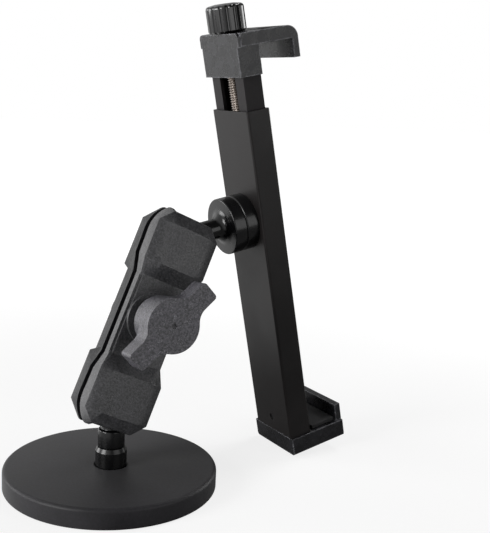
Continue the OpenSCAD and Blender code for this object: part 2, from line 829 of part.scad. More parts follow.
module upper_jaw_pad() {
    color(rubber_colour) clamp_place()
        slab([-jaw_pad_w / 2, jaw_pad_w / 2], [spine_pad_front + 0.4, jaw_front - lip_t - 0.2],
             [hook_bottom - 0.3, hook_bottom + jaw_pad_t - 0.3]);
}

module thrust_washer() {
    color(steel_colour) clamp_place() translate([0, -screw_n, jaw_top - thrust_t])
        ring(thrust_d, screw_bore_d, thrust_t);
}

// -------------------------------------------------------------- lead screw
clip_up = core_bottom - 1.2;
clip_d = screw_d + 1.6;
screw_top = jaw_top + 7;

module lead_screw() {
    r = screw_d / 2 - running_fit;
    depth = 0.45;
    bottom = -screw_drop;
    thread_top = core_bottom - 1.6;
    teeth = floor((thread_top - bottom) / screw_pitch);
    thread = [
        for (i = [0 : teeth - 1])
            let (u = bottom + 0.5 + i * screw_pitch)
            each [[r - depth, u], [r, u + screw_pitch * 0.35],
                  [r, u + screw_pitch * 0.6], [r - depth, u + screw_pitch * 0.95]]
    ];
    color(steel_colour) clamp_place() translate([0, -screw_n, 0]) difference() {
        union() {
            rotate_extrude() polygon(concat(
                [[0, bottom], [r - depth, bottom]], thread, [[r - depth, thread_top], [0, thread_top]]
            ));
            cylinder_between(thread_top - 0.1, screw_top, r);
        }
        translate([0, 0, clip_up - 0.05]) ring(screw_d + 2, screw_d - 1.6, 1.1);
    }
}

module screw_clip() {
    color(steel_colour) clamp_place() translate([0, -screw_n, clip_up]) difference() {
        ring(clip_d, screw_d - 1.6, 1);
        translate([0, -1.2, -1]) cube([screw_d, 2.4, 3]);
    }
}

module top_knob() {
    bottom = jaw_top + 0.1;
    r = top_knob_d / 2;
    rim = 1.5;
    crown = 0.5;
    color(gloss_colour) clamp_place() translate([0, -screw_n, bottom]) difference() {
        rotate_extrude() {
            polygon([
                [0, 0], [r - 0.9, 0], [r, 0.9], [r, top_knob_h - rim - crown],
                [r - rim, top_knob_h - crown], [r - rim - 2.5, top_knob_h - 0.1], [0, top_knob_h]
            ]);
            translate([r - rim, top_knob_h - rim - crown]) circle(rim);
        }
        for (i = [0 : flute_count - 1])
            rotate(i * 360 / flute_count) translate([r + 0.55, 0, -1])
                cylinder(r = 1, h = top_knob_h + 2);
        translate([0, 0, -1]) cylinder(d = screw_d - 2 * running_fit, h = screw_top - bottom + 1);
    }
}

base_jacket();
base_steel_disc();
base_magnets();
base_bush();
lower_ball_stud();
arm_half_rear();
clamp_bolt();
arm_spring();
arm_half_front();
knob_washer();
wing_knob();
knob_insert();
upper_ball_stud();
stud_retaining_ring();
swivel_collar();
collar_screws();
spine_tube();
spine_pad();
screw_nut();
lower_jaw();
lower_jaw_pad();
lower_jaw_screw();
inner_slider();
upper_jaw();
upper_jaw_pad();
jaw_screws();
thrust_washer();
lead_screw();
screw_clip();
top_knob();
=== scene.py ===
"""Desk stand that clamps a tablet: rubber-jacketed magnet base, clamping double-ball arm with a
wing knob, swivelling collar, and a screw-driven clamp on a square tube.

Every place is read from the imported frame. Shapes are drawn in millimetres about the axis they
turn on, and are laid into the frame's metres when their mesh is finished.
"""

import json
import logging
import math
from collections.abc import Sequence
from dataclasses import dataclass, replace
from enum import Enum
from functools import cache

import bmesh
import bpy
from mathutils import Matrix, Vector


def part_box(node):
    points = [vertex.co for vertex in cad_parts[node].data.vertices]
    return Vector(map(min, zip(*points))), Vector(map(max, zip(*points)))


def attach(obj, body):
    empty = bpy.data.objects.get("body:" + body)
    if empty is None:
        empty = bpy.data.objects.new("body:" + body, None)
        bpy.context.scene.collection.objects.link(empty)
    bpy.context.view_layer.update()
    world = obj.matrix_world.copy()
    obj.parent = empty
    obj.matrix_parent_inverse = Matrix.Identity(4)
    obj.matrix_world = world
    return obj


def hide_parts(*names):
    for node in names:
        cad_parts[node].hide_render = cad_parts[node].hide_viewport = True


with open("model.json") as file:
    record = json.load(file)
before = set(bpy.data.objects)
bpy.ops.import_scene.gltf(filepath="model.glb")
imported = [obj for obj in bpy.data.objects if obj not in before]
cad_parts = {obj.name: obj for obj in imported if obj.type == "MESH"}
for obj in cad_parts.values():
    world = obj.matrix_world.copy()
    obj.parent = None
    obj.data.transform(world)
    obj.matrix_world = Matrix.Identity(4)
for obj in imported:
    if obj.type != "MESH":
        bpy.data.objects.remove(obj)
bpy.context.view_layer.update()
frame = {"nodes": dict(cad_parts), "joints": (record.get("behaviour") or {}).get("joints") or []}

MM = 0.001
WELD = 2e-6
log = logging.getLogger("tablet_stand")

Point = tuple[float, float]
Triple = tuple[float, float, float]
Socket = bpy.types.NodeSocket
Nodes = bpy.types.NodeTree
Piece = bpy.types.Object

# the part of a noise's heights that each use stretches to its full range
DRIFT_SPAN: Point = (0.32, 0.68)
PATCH_SPAN: Point = (0.3, 0.7)
RUB_SPAN: Point = (0.38, 0.62)
GRAIN_SPAN: Point = (0.35, 0.65)


# ---------------- places and measures
@dataclass(frozen=True)
class Placement:
    """Where a piece's own axes lie in the frame: +Z along the axis it turns on.

    Attributes:
        origin: the place of the piece's zero, in metres.
        axis: direction of the piece's +Z.
        side: direction of the piece's +X, as near square to the axis as given.
    """

    origin: Triple = (0.0, 0.0, 0.0)
    axis: Triple = (0.0, 0.0, 1.0)
    side: Triple = (1.0, 0.0, 0.0)

    def matrix(self) -> Matrix:
        """Turns the piece's millimetres into the frame's metres.

        Returns:
            The transform for a mesh drawn in millimetres about its own axis.
        """
        z = Vector(self.axis).normalized()
        x = (Vector(self.side) - z * Vector(self.side).dot(z)).normalized()
        turn = Matrix((x, z.cross(x), z)).transposed().to_4x4()
        return Matrix.Translation(self.origin) @ turn @ Matrix.Scale(MM, 4)

    def raised(self, height: float) -> "Placement":
        """The same axes with their zero moved along +Z, by a height in millimetres."""
        return replace(self, origin=tuple(Vector(self.origin) + Vector(self.axis) * height * MM))


def joint(name: str) -> dict:
    """The frame's joint of that name."""
    return next(j for j in frame["joints"] if j["name"] == name)


def placed_on(pivot: str, axis: str | None = None) -> Placement:
    """Placement on a joint's point.

    Args:
        pivot: the joint whose point is the origin.
        axis: the joint whose axis is +Z, or the same joint's when left out.

    Returns:
        The placement, with +X kept across the stand.
    """
    across = 0.9
    direction = tuple(joint(axis or pivot)["axis"])
    side = (1.0, 0.0, 0.0) if abs(direction[0]) < across else (0.0, 0.0, 1.0)
    return Placement(tuple(joint(pivot)["pos_m"]), direction, side)


def reach(node: str, place: Placement) -> Triple:
    """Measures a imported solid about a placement's axis.

    Args:
        node: the solid's name.
        place: the axis to measure about.

    Returns:
        Lowest and highest point along the axis, and the largest radius, in millimetres.
    """
    inverse = place.matrix().inverted()
    points = [inverse @ v.co for v in frame["nodes"][node].data.vertices]
    heights = [p.z for p in points]
    return min(heights), max(heights), max(math.hypot(p.x, p.y) for p in points)


# ---------------- mesh work
def linked(name: str, data: bpy.types.ID) -> Piece:
    """Puts a mesh, a lamp or a camera in the scene.

    Args:
        name: the new object's name.
        data: what the object shows.

    Returns:
        The object.
    """
    piece = bpy.data.objects.new(name, data)
    bpy.context.scene.collection.objects.link(piece)
    return piece


def welded(node: str) -> bmesh.types.BMesh:
    """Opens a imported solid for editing.

    Args:
        node: the solid's name.

    Returns:
        A copy of its mesh, with doubled points joined.
    """
    shape = bmesh.new()
    shape.from_mesh(frame["nodes"][node].data)
    bmesh.ops.remove_doubles(shape, verts=shape.verts, dist=WELD)
    return shape


def closed(name: str, shape: bmesh.types.BMesh) -> Piece:
    """Ends the editing of a shape.

    Args:
        name: the new object's name.
        shape: the shape, which can't be edited any more.

    Returns:
        The shape as an object in the scene.
    """
    mesh = bpy.data.meshes.new(name)
    shape.to_mesh(mesh)
    shape.free()
    return linked(name, mesh)


def softened(piece: Piece, angle: float) -> Piece:
    """Shades a piece smooth.

    Args:
        piece: the piece.
        angle: faces that meet at more than this many degrees stay creased.

    Returns:
        The same piece.
    """
    piece.data.shade_smooth()
    piece.data.set_sharp_from_angle(angle=math.radians(angle))
    return piece


def flattened(piece: Piece) -> Piece:
    """Applies a piece's modifiers to its mesh.

    Args:
        piece: the piece.

    Returns:
        The same piece, with one plain mesh.
    """
    depsgraph = bpy.context.evaluated_depsgraph_get()
    mesh = bpy.data.meshes.new_from_object(piece.evaluated_get(depsgraph), depsgraph=depsgraph)
    old = piece.data
    piece.modifiers.clear()
    piece.data = mesh
    bpy.data.meshes.remove(old)
    mesh.name = piece.name
    return piece


def solid_centres(node: str) -> list[Vector]:
    """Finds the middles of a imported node's separate solids.

    Args:
        node: the node's name.

    Returns:
        The middle of each solid's own box, in metres.
    """
    shape = welded(node)
    centres: list[Vector] = []
    left = set(shape.verts)
    while left:
        patch, edge = set(), [left.pop()]
        while edge:
            vert = edge.pop()
            patch.add(vert)
            near = {link.other_vert(vert) for link in vert.link_edges} & left
            left -= near
            edge.extend(near)
        low, high = (Vector(pick(v.co[i] for v in patch) for i in range(3)) for pick in (min, max))
        centres.append((low + high) / 2)
    shape.free()
    return centres


def rounded(corners: Sequence[Triple], steps: int = 6) -> list[Point]:
    """Rounds the corners of a profile.

    Args:
        corners: radius, height and rounding of each corner.
        steps: straight pieces in each rounding.

    Returns:
        The profile's points.
    """
    points: list[Point] = []
    for i, (r, h, fillet) in enumerate(corners):
        if fillet <= 0 or i in (0, len(corners) - 1):
            points.append((r, h))
            continue
        here = Vector((r, h))
        before = (Vector(corners[i - 1][:2]) - here).normalized()
        after = (Vector(corners[i + 1][:2]) - here).normalized()
        half = before.angle(after) / 2
        middle = here + (before + after).normalized() * (fillet / math.sin(half))
        start = here + before * (fillet / math.tan(half)) - middle
        end = here + after * (fillet / math.tan(half)) - middle
        sweep = math.copysign(math.pi - 2 * half, start.cross(end))
        for k in range(steps + 1):
            points.append(tuple(middle + Matrix.Rotation(sweep * k / steps, 2) @ start))
    return points


def ball_outline(radius: float, height: float, start: float, end: float) -> list[Point]:
    """Follows a ball's outline.

    Args:
        radius: the ball's radius.
        height: height of its middle.
        start: angle of the first point above the middle, in radians.
        end: angle of the last point.

    Returns:
        Radius and height of each point.
    """
    steps = 40
    angles = [start + (end - start) * k / steps for k in range(steps + 1)]
    return [(radius * math.cos(a), height + radius * math.sin(a)) for a in angles]


def lathe(
    name: str,
    profile: Sequence[Point],
    place: Placement | None,
    segments: int = 96,
    hexagons: Sequence[int] = (),
) -> Piece:
    """Turns a profile round the placement's axis.

    Args:
        name: the object's name.
        profile: radius and height of each ring, from one pole to the other.
        place: where the piece goes, or None to keep it in millimetres at zero.
        segments: points round the axis.
        hexagons: indices of the rings that are hexagons, with their radius to the flats.

    Returns:
        The turned piece, with outward faces.
    """
    shape = bmesh.new()
    pole, crease, side = 1e-6, 35, math.pi / 3
    rings: list[list[bmesh.types.BMVert]] = []
    for index, (radius, height) in enumerate(profile):
        ring = []
        for k in range(segments if radius > pole else 1):
            a = 2 * math.pi * k / segments
            flat = math.cos((a + side / 2) % side - side / 2) if index in hexagons else 1.0
            wide = radius / flat if radius > pole else 0.0
            ring.append(shape.verts.new((wide * math.cos(a), wide * math.sin(a), height)))
        rings.append(ring)
    for low, high in zip(rings, rings[1:]):
        for k in range(segments):
            n = (k + 1) % segments
            corners = (low[k % len(low)], low[n % len(low)], high[n % len(high)], high[k % len(high)])
            shape.faces.new(tuple(dict.fromkeys(corners)))
    bmesh.ops.recalc_face_normals(shape, faces=shape.faces)
    piece = closed(name, shape)
    if place:
        piece.data.transform(place.matrix())
    return softened(piece, crease)


def eased_copy(
    node: str,
    name: str,
    edge: float,
    segments: int = 3,
    bore: tuple[Placement, float] | None = None,
) -> Piece:
    """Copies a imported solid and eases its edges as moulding, machining or bending leaves them.

    Args:
        node: the solid's name.
        name: the new piece's name.
        edge: width of the easing, in millimetres.
        segments: steps across the easing.
        bore: an axis, and the radius round it in which edges are only broken.

    Returns:
        The eased piece.
    """
    sharp, flat, broken = math.radians(28), math.radians(0.6), 0.12
    shape = welded(node)
    bmesh.ops.dissolve_degenerate(shape, edges=shape.edges, dist=WELD / 2)
    bmesh.ops.dissolve_limit(shape, angle_limit=flat, verts=shape.verts, edges=shape.edges)
    if bore:
        inverse = bore[0].matrix().inverted()
        weight = shape.edges.layers.float.new("bevel_weight_edge")
        for item in shape.edges:
            if len(item.link_faces) == 2 and item.calc_face_angle() > sharp:
                near = all((inverse @ v.co).xy.length < bore[1] for v in item.verts)
                item[weight] = broken if near else 1.0
    piece = closed(name, shape)
    if "custom_normal" in piece.data.attributes:
        piece.data.attributes.remove(piece.data.attributes["custom_normal"])
    piece.data.shade_smooth()
    easing = piece.modifiers.new("easing", "BEVEL")
    easing.width = edge * MM
    easing.segments = segments
    easing.limit_method = "WEIGHT" if bore else "ANGLE"
    easing.angle_limit = sharp
    easing.use_clamp_overlap = True
    easing.miter_outer = "MITER_ARC"
    faces = piece.modifiers.new("flat_faces", "WEIGHTED_NORMAL")
    faces.keep_sharp = True
    return flattened(piece)


# ---------------- node trees
class Tree:
    """A node tree being wired, for a material, a shared group or Geometry Nodes."""

    def __init__(self, tree: Nodes) -> None:
        """Empties the tree and keeps it."""
        self.tree = tree
        tree.nodes.clear()

    def feed(self, socket: Socket, value: object) -> None:
        """Wires an output to an input, or sets the input to a plain value.

        Args:
            socket: the input.
            value: another node's output, or the plain value.
        """
        if isinstance(value, Socket):
            self.tree.links.new(value, socket)
        else:
            socket.default_value = value

    def add(
        self, kind: str, inputs: dict[str | int, object] | None = None, **settings: object
    ) -> bpy.types.Node:
        """Adds a node.

        Args:
            kind: the node's type.
            inputs: what its inputs get, by name or number.
            settings: the node's own properties.

        Returns:
            The node.
        """
        node = self.tree.nodes.new(kind)
        for key, value in settings.items():
            setattr(node, key, value)
        for key, value in (inputs or {}).items():
            self.feed(node.inputs[key], value)
        return node

    def calc(self, operation: str, *values: object, clamp: bool = False) -> Socket:
        """Adds one step of arithmetic and returns its result."""
        node = self.add("ShaderNodeMath", dict(enumerate(values)), operation=operation, use_clamp=clamp)
        return node.outputs[0]

    def between(
        self, value: object, low: float, high: float, to_low: float = 0, to_high: float = 1
    ) -> Socket:
        """Maps a value smoothly, so that low becomes to_low and high becomes to_high."""
        values = dict(enumerate((value, low, high, to_low, to_high)))
        return self.add("ShaderNodeMapRange", values, interpolation_type="SMOOTHSTEP").outputs[0]


class Group(Tree):
    """A node group with named inputs and one output."""

    def __init__(self, name: str, tree: str, inputs: dict[str, str], output: dict[str, str]) -> None:
        """Makes the group with its sockets.

        Args:
            name: the group's name.
            tree: the type of node tree.
            inputs: what each input holds, by its label.
            output: what the output holds, by its label.
        """
        group = bpy.data.node_groups.new(name, tree)
        for way, sockets in (("INPUT", inputs), ("OUTPUT", output)):
            for label, held in sockets.items():
                group.interface.new_socket(label, in_out=way, socket_type="NodeSocket" + held)
        super().__init__(group)
        self.source = self.add("NodeGroupInput")
        self.sink = self.add("NodeGroupOutput")

    def __getitem__(self, name: str) -> Socket:
        """One of the group's own inputs, for wiring inside it."""
        return self.source.outputs[name]


class SharedGroup(Group):
    """A shader group that several finishes use, and that gives one value at each place."""

    def __init__(self, name: str, output: str, *sizes: str) -> None:
        """Makes the group, with the place and its sizes as inputs."""
        inputs = {"Vector": "Vector", **dict.fromkeys(sizes, "Float")}
        super().__init__(name, "ShaderNodeTree", inputs, {output: "Float"})

    def scale(self) -> Socket:
        """A texture's scale for the group's Size."""
        return self.calc("DIVIDE", 1 / MM, self["Size"])

    def noise(self, scale: object, detail: float = 2.0) -> Socket:
        """Adds a noise over the place and returns its height."""
        values = {"Vector": self["Vector"], "Scale": scale, "Detail": detail}
        return self.add("ShaderNodeTexNoise", values).outputs[0]

    def end(self, value: Socket) -> Nodes:
        """Wires the output and returns the finished group."""
        self.feed(self.sink.inputs[0], value)
        return self.tree


@cache
def moulded_grain() -> Nodes:
    """Fine surface grain: two sizes of bumps over each other. Size is in millimetres.

    Returns:
        The group, which gives a height from 0 to 1.
    """
    group = SharedGroup("moulded_grain", "Height", "Size")
    finer, fine_share = 2.7, 0.35
    coarse = group.noise(group.scale())
    fine = group.noise(group.calc("MULTIPLY", group.scale(), finer), detail=1.0)
    coarse = group.calc("MULTIPLY", coarse, 1 - fine_share)
    return group.end(group.calc("MULTIPLY_ADD", fine, fine_share, coarse))


@cache
def light_flecks() -> Nodes:
    """Scattered light specks, as of fibre ends at a moulded surface. Size is in millimetres.

    Returns:
        The group, which gives each speck's strength, and 0 between them.
    """
    rim, core, weakest = 0.5, 0.1, 0.3
    group = SharedGroup("light_flecks", "Mask", "Size", "Share")
    cells = group.add("ShaderNodeTexVoronoi", {"Vector": group["Vector"], "Scale": group.scale()})
    split = group.add("ShaderNodeSeparateColor", {0: cells.outputs["Color"]})
    chosen = group.calc("LESS_THAN", split.outputs[0], group["Share"])
    near = group.between(cells.outputs["Distance"], rim, core)
    strength = group.calc("MULTIPLY", near, group.between(split.outputs[1], 0, 1, weakest, 1))
    return group.end(group.calc("MULTIPLY", chosen, strength))


@cache
def slow_drift() -> Nodes:
    """A slow change over a surface, from 0 to 1. Size is in millimetres."""
    group = SharedGroup("slow_drift", "Value", "Size")
    return group.end(group.between(group.noise(group.scale(), detail=3.0), *DRIFT_SPAN))


@cache
def sheltered() -> Nodes:
    """Painted shade where a surface lies deep in a gap or inner corner, from ambient occlusion. Size is
    in millimetres.

    Returns:
        The group, which gives the strength of the painted shade from 0 to 1.
    """
    bare, deep, patches, least = 0.75, 0.3, 0.5, 0.85
    group = SharedGroup("sheltered", "Mask", "Size")
    distance = group.calc("MULTIPLY", group["Size"], MM)
    share = group.add("ShaderNodeAmbientOcclusion", {"Distance": distance}, samples=6)
    mask = group.between(share.outputs["AO"], bare, deep)
    uneven = group.between(group.noise(patches / MM), *PATCH_SPAN, least, 1)
    return group.end(group.calc("MULTIPLY", mask, uneven))


@cache
def handled_edges() -> Nodes:
    """A broken line along outer edges: wear where handling rubs them, and painted edge highlights. Width
    is in millimetres.

    Returns:
        The group, which gives the wear and painted highlight from 0 to 1.
    """
    flat, turned, patches, least = 0.985, 0.86, 0.35, 0.25
    group = SharedGroup("handled_edges", "Mask", "Width")
    radius = group.calc("MULTIPLY", group["Width"], MM)
    wide = group.add("ShaderNodeBevel", {"Radius": radius}, samples=4).outputs[0]
    plain = group.add("ShaderNodeNewGeometry").outputs["True Normal"]
    facing = group.add("ShaderNodeVectorMath", {0: wide, 1: plain}, operation="DOT_PRODUCT")
    line = group.between(facing.outputs["Value"], flat, turned)
    patchy = group.between(group.noise(patches / MM, detail=3.0), *RUB_SPAN, least, 1)
    return group.end(group.calc("MULTIPLY", line, patchy))


# ---------------- finishes
def linear(tone: Triple, times: float = 1.0) -> tuple[float, float, float, float]:
    """Turns a screen tone into the shader's linear colour.

    Args:
        tone: red, green and blue, 0 to 255.
        times: how much lighter or darker it is made first.

    Returns:
        The colour, opaque.
    """
    knee, slope, lift, power = 10, 12.92, 0.055, 2.4
    parts = (c * times for c in tone)
    curve = (c / 255 / slope if c <= knee else ((c / 255 + lift) / (1 + lift)) ** power for c in parts)
    return (*curve, 1.0)


class Surface(Tree):
    """A material being wired round one Principled shader."""

    def __init__(self, name: str) -> None:
        """Makes the material, its shader and its coordinates.

        Args:
            name: the material's name.
        """
        self.material = bpy.data.materials.new(name)
        self.material.use_nodes = True
        super().__init__(self.material.node_tree)
        self.shader = self.add("ShaderNodeBsdfPrincipled")
        self.add("ShaderNodeOutputMaterial", {"Surface": self.shader.outputs[0]})
        self.place = self.add("ShaderNodeTexCoord").outputs["Object"]

    def group(self, made: Nodes, **sizes: float) -> Socket:
        """Uses a shared group on the surface's own coordinates.

        Args:
            made: the shared group.
            sizes: the group's sizes, by their names in lower case.

        Returns:
            The group's output.
        """
        inputs = {name.capitalize(): size for name, size in sizes.items()}
        node = self.add("ShaderNodeGroup", node_tree=made)
        for name, value in {"Vector": self.place, **inputs}.items():
            self.feed(node.inputs[name], value)
        return node.outputs[0]

    def blend(self, mask: object, plain: object, over: object) -> Socket:
        """Lays one colour over another by a mask, and returns the result."""
        return self.add("ShaderNodeMix", {0: mask, 6: plain, 7: over}, data_type="RGBA").outputs[2]

    def bump(self, height: Socket, depth: float) -> None:
        """Raises the surface by a height map, with the depth in millimetres."""
        values = {"Strength": 1.0, "Distance": depth * MM, "Height": height}
        self.set(Normal=self.add("ShaderNodeBump", values).outputs[0])

    def set(self, **values: object) -> None:
        """Sets or wires the shader's sockets, by their names with _ for a space."""
        for name, value in values.items():
            self.feed(self.shader.inputs[name.replace("_", " ")], value)


class Slot(Enum):
    """The record's material slots."""

    JACKET = "jacket_rubber"
    NYLON = "filled_nylon"
    GLOSS = "gloss_black_steel"
    PLATED = "plated_steel"
    BRASS = "brass"
    TUBE = "satin_black_tube"
    JAW = "satin_black_plastic"
    SLIDER = "slider_plastic"
    KNOB = "knob_plastic"
    PAD = "pad_rubber"


@dataclass(frozen=True)
class Finish:
    """What every finish has: its name, its slot in the record, and how it is built."""

    name: str
    slot: Slot

    def build(self, surface: Surface) -> None:
        """Wires the finish. Each kind of finish has its own."""
        raise NotImplementedError

    @cache
    def material(self) -> bpy.types.Material:
        """The finish's material, made once.

        Returns:
            The material.
        """
        surface = Surface(self.name)
        self.build(surface)
        return surface.material


@dataclass(frozen=True)
class Moulded(Finish):
    """A moulded or coated surface: tone, grain, flecks, slow drift, edge wear with painted edge
    highlights, and painted shade in crevices.

    Sizes are in millimetres, tones from 0 to 255.
    """

    tone: Triple
    fleck_tone: Triple
    edge_tone: Triple
    roughness: float = 0.5
    rough_drift: float = 0.05
    specular: float = 0.35
    grain: float = 0.4
    grain_depth: float = 0.02
    grain_shade: float = 0.2
    fleck: float = 0.6
    fleck_share: float = 0.25
    fleck_strength: float = 0.5
    drift: float = 14.0
    drift_shade: float = 0.12
    edge: float = 0.6
    edge_strength: float = 0.4
    edge_polish: float = 0.12
    sheen: float = 0.0
    # painted shade in gaps and inner corners: its reach in millimetres, its strength, and how much darker
    # its tone is
    crevice_shade_size: float = 6.0
    crevice_shade_strength: float = 0.42
    crevice_shade_darkness: float = 0.3

    def build(self, surface: Surface) -> None:
        """Wires the tone from large to small, then roughness and bump.

        Args:
            surface: the material to wire.
        """
        calc, between = surface.calc, surface.between
        grain = surface.group(moulded_grain(), size=self.grain)
        drift = surface.group(slow_drift(), size=self.drift)
        flecks = surface.group(light_flecks(), size=self.fleck, share=self.fleck_share)
        # lighter edges: wear, and painted highlights along the edges
        edges = surface.group(handled_edges(), width=self.edge)
        # painted shade: the tone is darkened in gaps and inner corners by ambient occlusion
        deep = surface.group(sheltered(), size=self.crevice_shade_size)
        slow = between(drift, 0, 1, 1 - self.drift_shade, 1 + self.drift_shade)
        shade = calc("ADD", slow, between(grain, *GRAIN_SPAN, -self.grain_shade, self.grain_shade))
        values = {0: linear(self.tone)[:3], "Scale": shade}
        colour = surface.add("ShaderNodeVectorMath", values, operation="SCALE").outputs[0]
        for mask, strength, tone in (
            (flecks, self.fleck_strength, linear(self.fleck_tone)),
            (edges, self.edge_strength, linear(self.edge_tone)),
            (deep, self.crevice_shade_strength, linear(self.tone, self.crevice_shade_darkness)),
        ):
            colour = surface.blend(calc("MULTIPLY", mask, strength), colour, tone)
        rough = between(drift, 0, 1, self.roughness - self.rough_drift, self.roughness + self.rough_drift)
        rough = calc("SUBTRACT", rough, calc("MULTIPLY", edges, self.edge_polish))
        surface.bump(grain, self.grain_depth)
        surface.set(Base_Color=colour, Roughness=rough)
        surface.set(Specular_IOR_Level=self.specular, Sheen_Weight=self.sheen)


@dataclass(frozen=True)
class GlossEnamel(Finish):
    """Deep black enamel on turned steel: a faint waviness, and lighter edges, where the enamel pulls thin
    and with painted highlights.
    """

    tone: Triple
    edge_tone: Triple
    roughness: float = 0.16
    rough_span: Point = (0.8, 1.3)
    specular: float = 0.32
    drift: float = 9.0
    drift_lift: float = 1.25
    ripple: float = 2.4
    ripple_depth: float = 0.012
    edge: float = 0.5
    edge_strength: float = 0.35
    coat: float = 0.08
    coat_roughness: float = 0.05

    def build(self, surface: Surface) -> None:
        """Wires the tone, the waviness and the lighter edges, thin enamel with painted highlights.

        Args:
            surface: the material to wire.
        """
        drift = surface.group(slow_drift(), size=self.drift)
        edges = surface.group(handled_edges(), width=self.edge)
        # lighter edges: thin enamel, and painted highlights along the edges
        worn_and_lit = surface.calc("MULTIPLY", edges, self.edge_strength)
        base = surface.blend(drift, linear(self.tone), linear(self.tone, self.drift_lift))
        smooth, dull = (self.roughness * times for times in self.rough_span)
        surface.bump(surface.group(moulded_grain(), size=self.ripple), self.ripple_depth)
        surface.set(
            Base_Color=surface.blend(worn_and_lit, base, linear(self.edge_tone)),
            Roughness=surface.between(drift, 0, 1, smooth, dull),
            Specular_IOR_Level=self.specular,
            Coat_Weight=self.coat,
            Coat_Roughness=self.coat_roughness,
        )


@dataclass(frozen=True)
class BareMetal(Finish):
    """Plated or turned metal: fine tool marks, and tarnish that drifts over it."""

    tone: Triple
    tarnish: Triple
    roughness: float = 0.3
    drift: float = 5.0
    drift_roughness: float = 0.08
    tarnish_share: float = 0.6
    marks: float = 0.25
    marks_depth: float = 0.008
    marks_roughness: float = 0.12

    def build(self, surface: Surface) -> None:
        """Wires the metal's tone, tarnish and tool marks.

        Args:
            surface: the material to wire.
        """
        drift = surface.group(slow_drift(), size=self.drift)
        grain = surface.group(moulded_grain(), size=self.marks)
        tarnish = surface.calc("MULTIPLY", drift, self.tarnish_share)
        least = self.roughness - self.marks_roughness / 2
        rough = surface.calc("MULTIPLY_ADD", drift, self.drift_roughness, least)
        surface.bump(grain, self.marks_depth)
        surface.set(
            Base_Color=surface.blend(tarnish, linear(self.tone), linear(self.tarnish)),
            Roughness=surface.calc("MULTIPLY_ADD", grain, self.marks_roughness, rough),
            Metallic=1.0,
        )


JACKET = Moulded(
    "jacket_rubber", Slot.JACKET, (27, 26, 29), (50, 49, 53), (70, 68, 73), roughness=0.52,
    rough_drift=0.015, specular=0.27, grain=0.9, grain_depth=0.03, fleck=0.9, fleck_share=0.12,
    fleck_strength=0.3, drift=18, drift_shade=0.22, edge=0.9, sheen=0.05,
)
ARM_NYLON = Moulded(
    "arm_filled_nylon", Slot.NYLON, (55, 55, 57), (110, 109, 111), (84, 83, 85), roughness=0.42,
    specular=0.55, grain=0.85, grain_depth=0.2, grain_shade=0.5, fleck=0.7, fleck_share=0.34,
    fleck_strength=0.45, drift=9, edge=0.9, edge_strength=0.35,
)
# painted shade: the rear arm half gets a darker copy of the arm nylon, for the shade that falls on that
# half
SHADED_REAR_NYLON = replace(
    ARM_NYLON, name="rear_filled_nylon", tone=(27, 27, 29), fleck_tone=(60, 59, 61), specular=0.24
)
# its bright flecks are partly painted glints on the knob's face, over the fibre flecks
WING_NYLON = Moulded(
    "wing_filled_nylon", Slot.NYLON, (70, 69, 74), (158, 156, 164), (92, 90, 94), roughness=0.42,
    specular=0.62, grain=0.9, grain_depth=0.4, grain_shade=0.65, fleck=0.62, fleck_share=0.36,
    fleck_strength=0.6, drift=7, drift_shade=0.14, edge=1.0,
)
GLOSS_STUD = GlossEnamel("gloss_black_studs", Slot.GLOSS, (8, 8, 9), (30, 30, 32), roughness=0.25)
PLATED = BareMetal("plated_steel", Slot.PLATED, (186, 187, 188), (150, 148, 142))
SCREW_STEEL = BareMetal(
    "lead_screw_steel", Slot.PLATED, (146, 138, 132), (98, 92, 86), roughness=0.26
)
BRASS = BareMetal("turned_brass", Slot.BRASS, (214, 178, 104), (150, 118, 66), roughness=0.28)
TUBE_BLACK = Moulded(
    "tube_satin_black", Slot.TUBE, (27, 25, 25), (56, 55, 56), (66, 65, 66), roughness=0.38,
    specular=0.2, grain=0.3, grain_depth=0.006, grain_shade=0.06, fleck=0.5, fleck_share=0.12,
    fleck_strength=0.25, drift=30, drift_shade=0.1, edge=0.5, edge_strength=0.5,
)
# the bright, strong edge tone is mostly a painted highlight along the jaws' top edges, over the edge wear
JAW_BLACK = Moulded(
    "jaw_satin_black", Slot.JAW, (22, 22, 25), (92, 92, 97), (150, 150, 156), roughness=0.28,
    specular=0.34, grain=0.8, grain_depth=0.1, grain_shade=0.25, fleck=0.9, fleck_share=0.2,
    fleck_strength=0.3, drift=4.5, drift_shade=0.26, edge=0.9, edge_strength=0.8,
)
SLIDER_GREY = Moulded(
    "slider_plastic", Slot.SLIDER, (37, 35, 36), (60, 60, 62), (90, 90, 92), roughness=0.46,
    specular=0.12, grain=0.35, grain_depth=0.008, grain_shade=0.06, fleck_share=0.1,
    fleck_strength=0.2, drift=20, drift_shade=0.08, edge=0.4,
)
KNOB_BLACK = GlossEnamel(
    "top_knob_black", Slot.KNOB, (8, 8, 9), (60, 60, 62), roughness=0.09, specular=0.5
)
PAD_RUBBER = Moulded(
    "pad_rubber", Slot.PAD, (34, 34, 35), (58, 58, 60), (48, 48, 49), roughness=0.78,
    specular=0.25, grain=0.45, grain_depth=0.03, grain_shade=0.12, fleck=0.7, fleck_share=0.1,
    fleck_strength=0.2, drift=16, drift_shade=0.08, edge=0.5, edge_strength=0.25, sheen=0.1,
)


def coated(solid: Piece, finish: Finish) -> None:
    """Gives an object one finish and no other."""
    solid.data.materials.clear()
    solid.data.materials.append(finish.material())


def dressed(piece: Piece, finish: Finish, body: str, *nodes: str) -> None:
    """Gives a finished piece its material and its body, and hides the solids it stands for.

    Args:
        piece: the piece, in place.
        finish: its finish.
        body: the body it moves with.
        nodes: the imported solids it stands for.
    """
    coated(piece, finish)
    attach(piece, body)
    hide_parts(*nodes)
    log.info("%s on %s: %d faces", piece.name, body, len(piece.data.polygons))


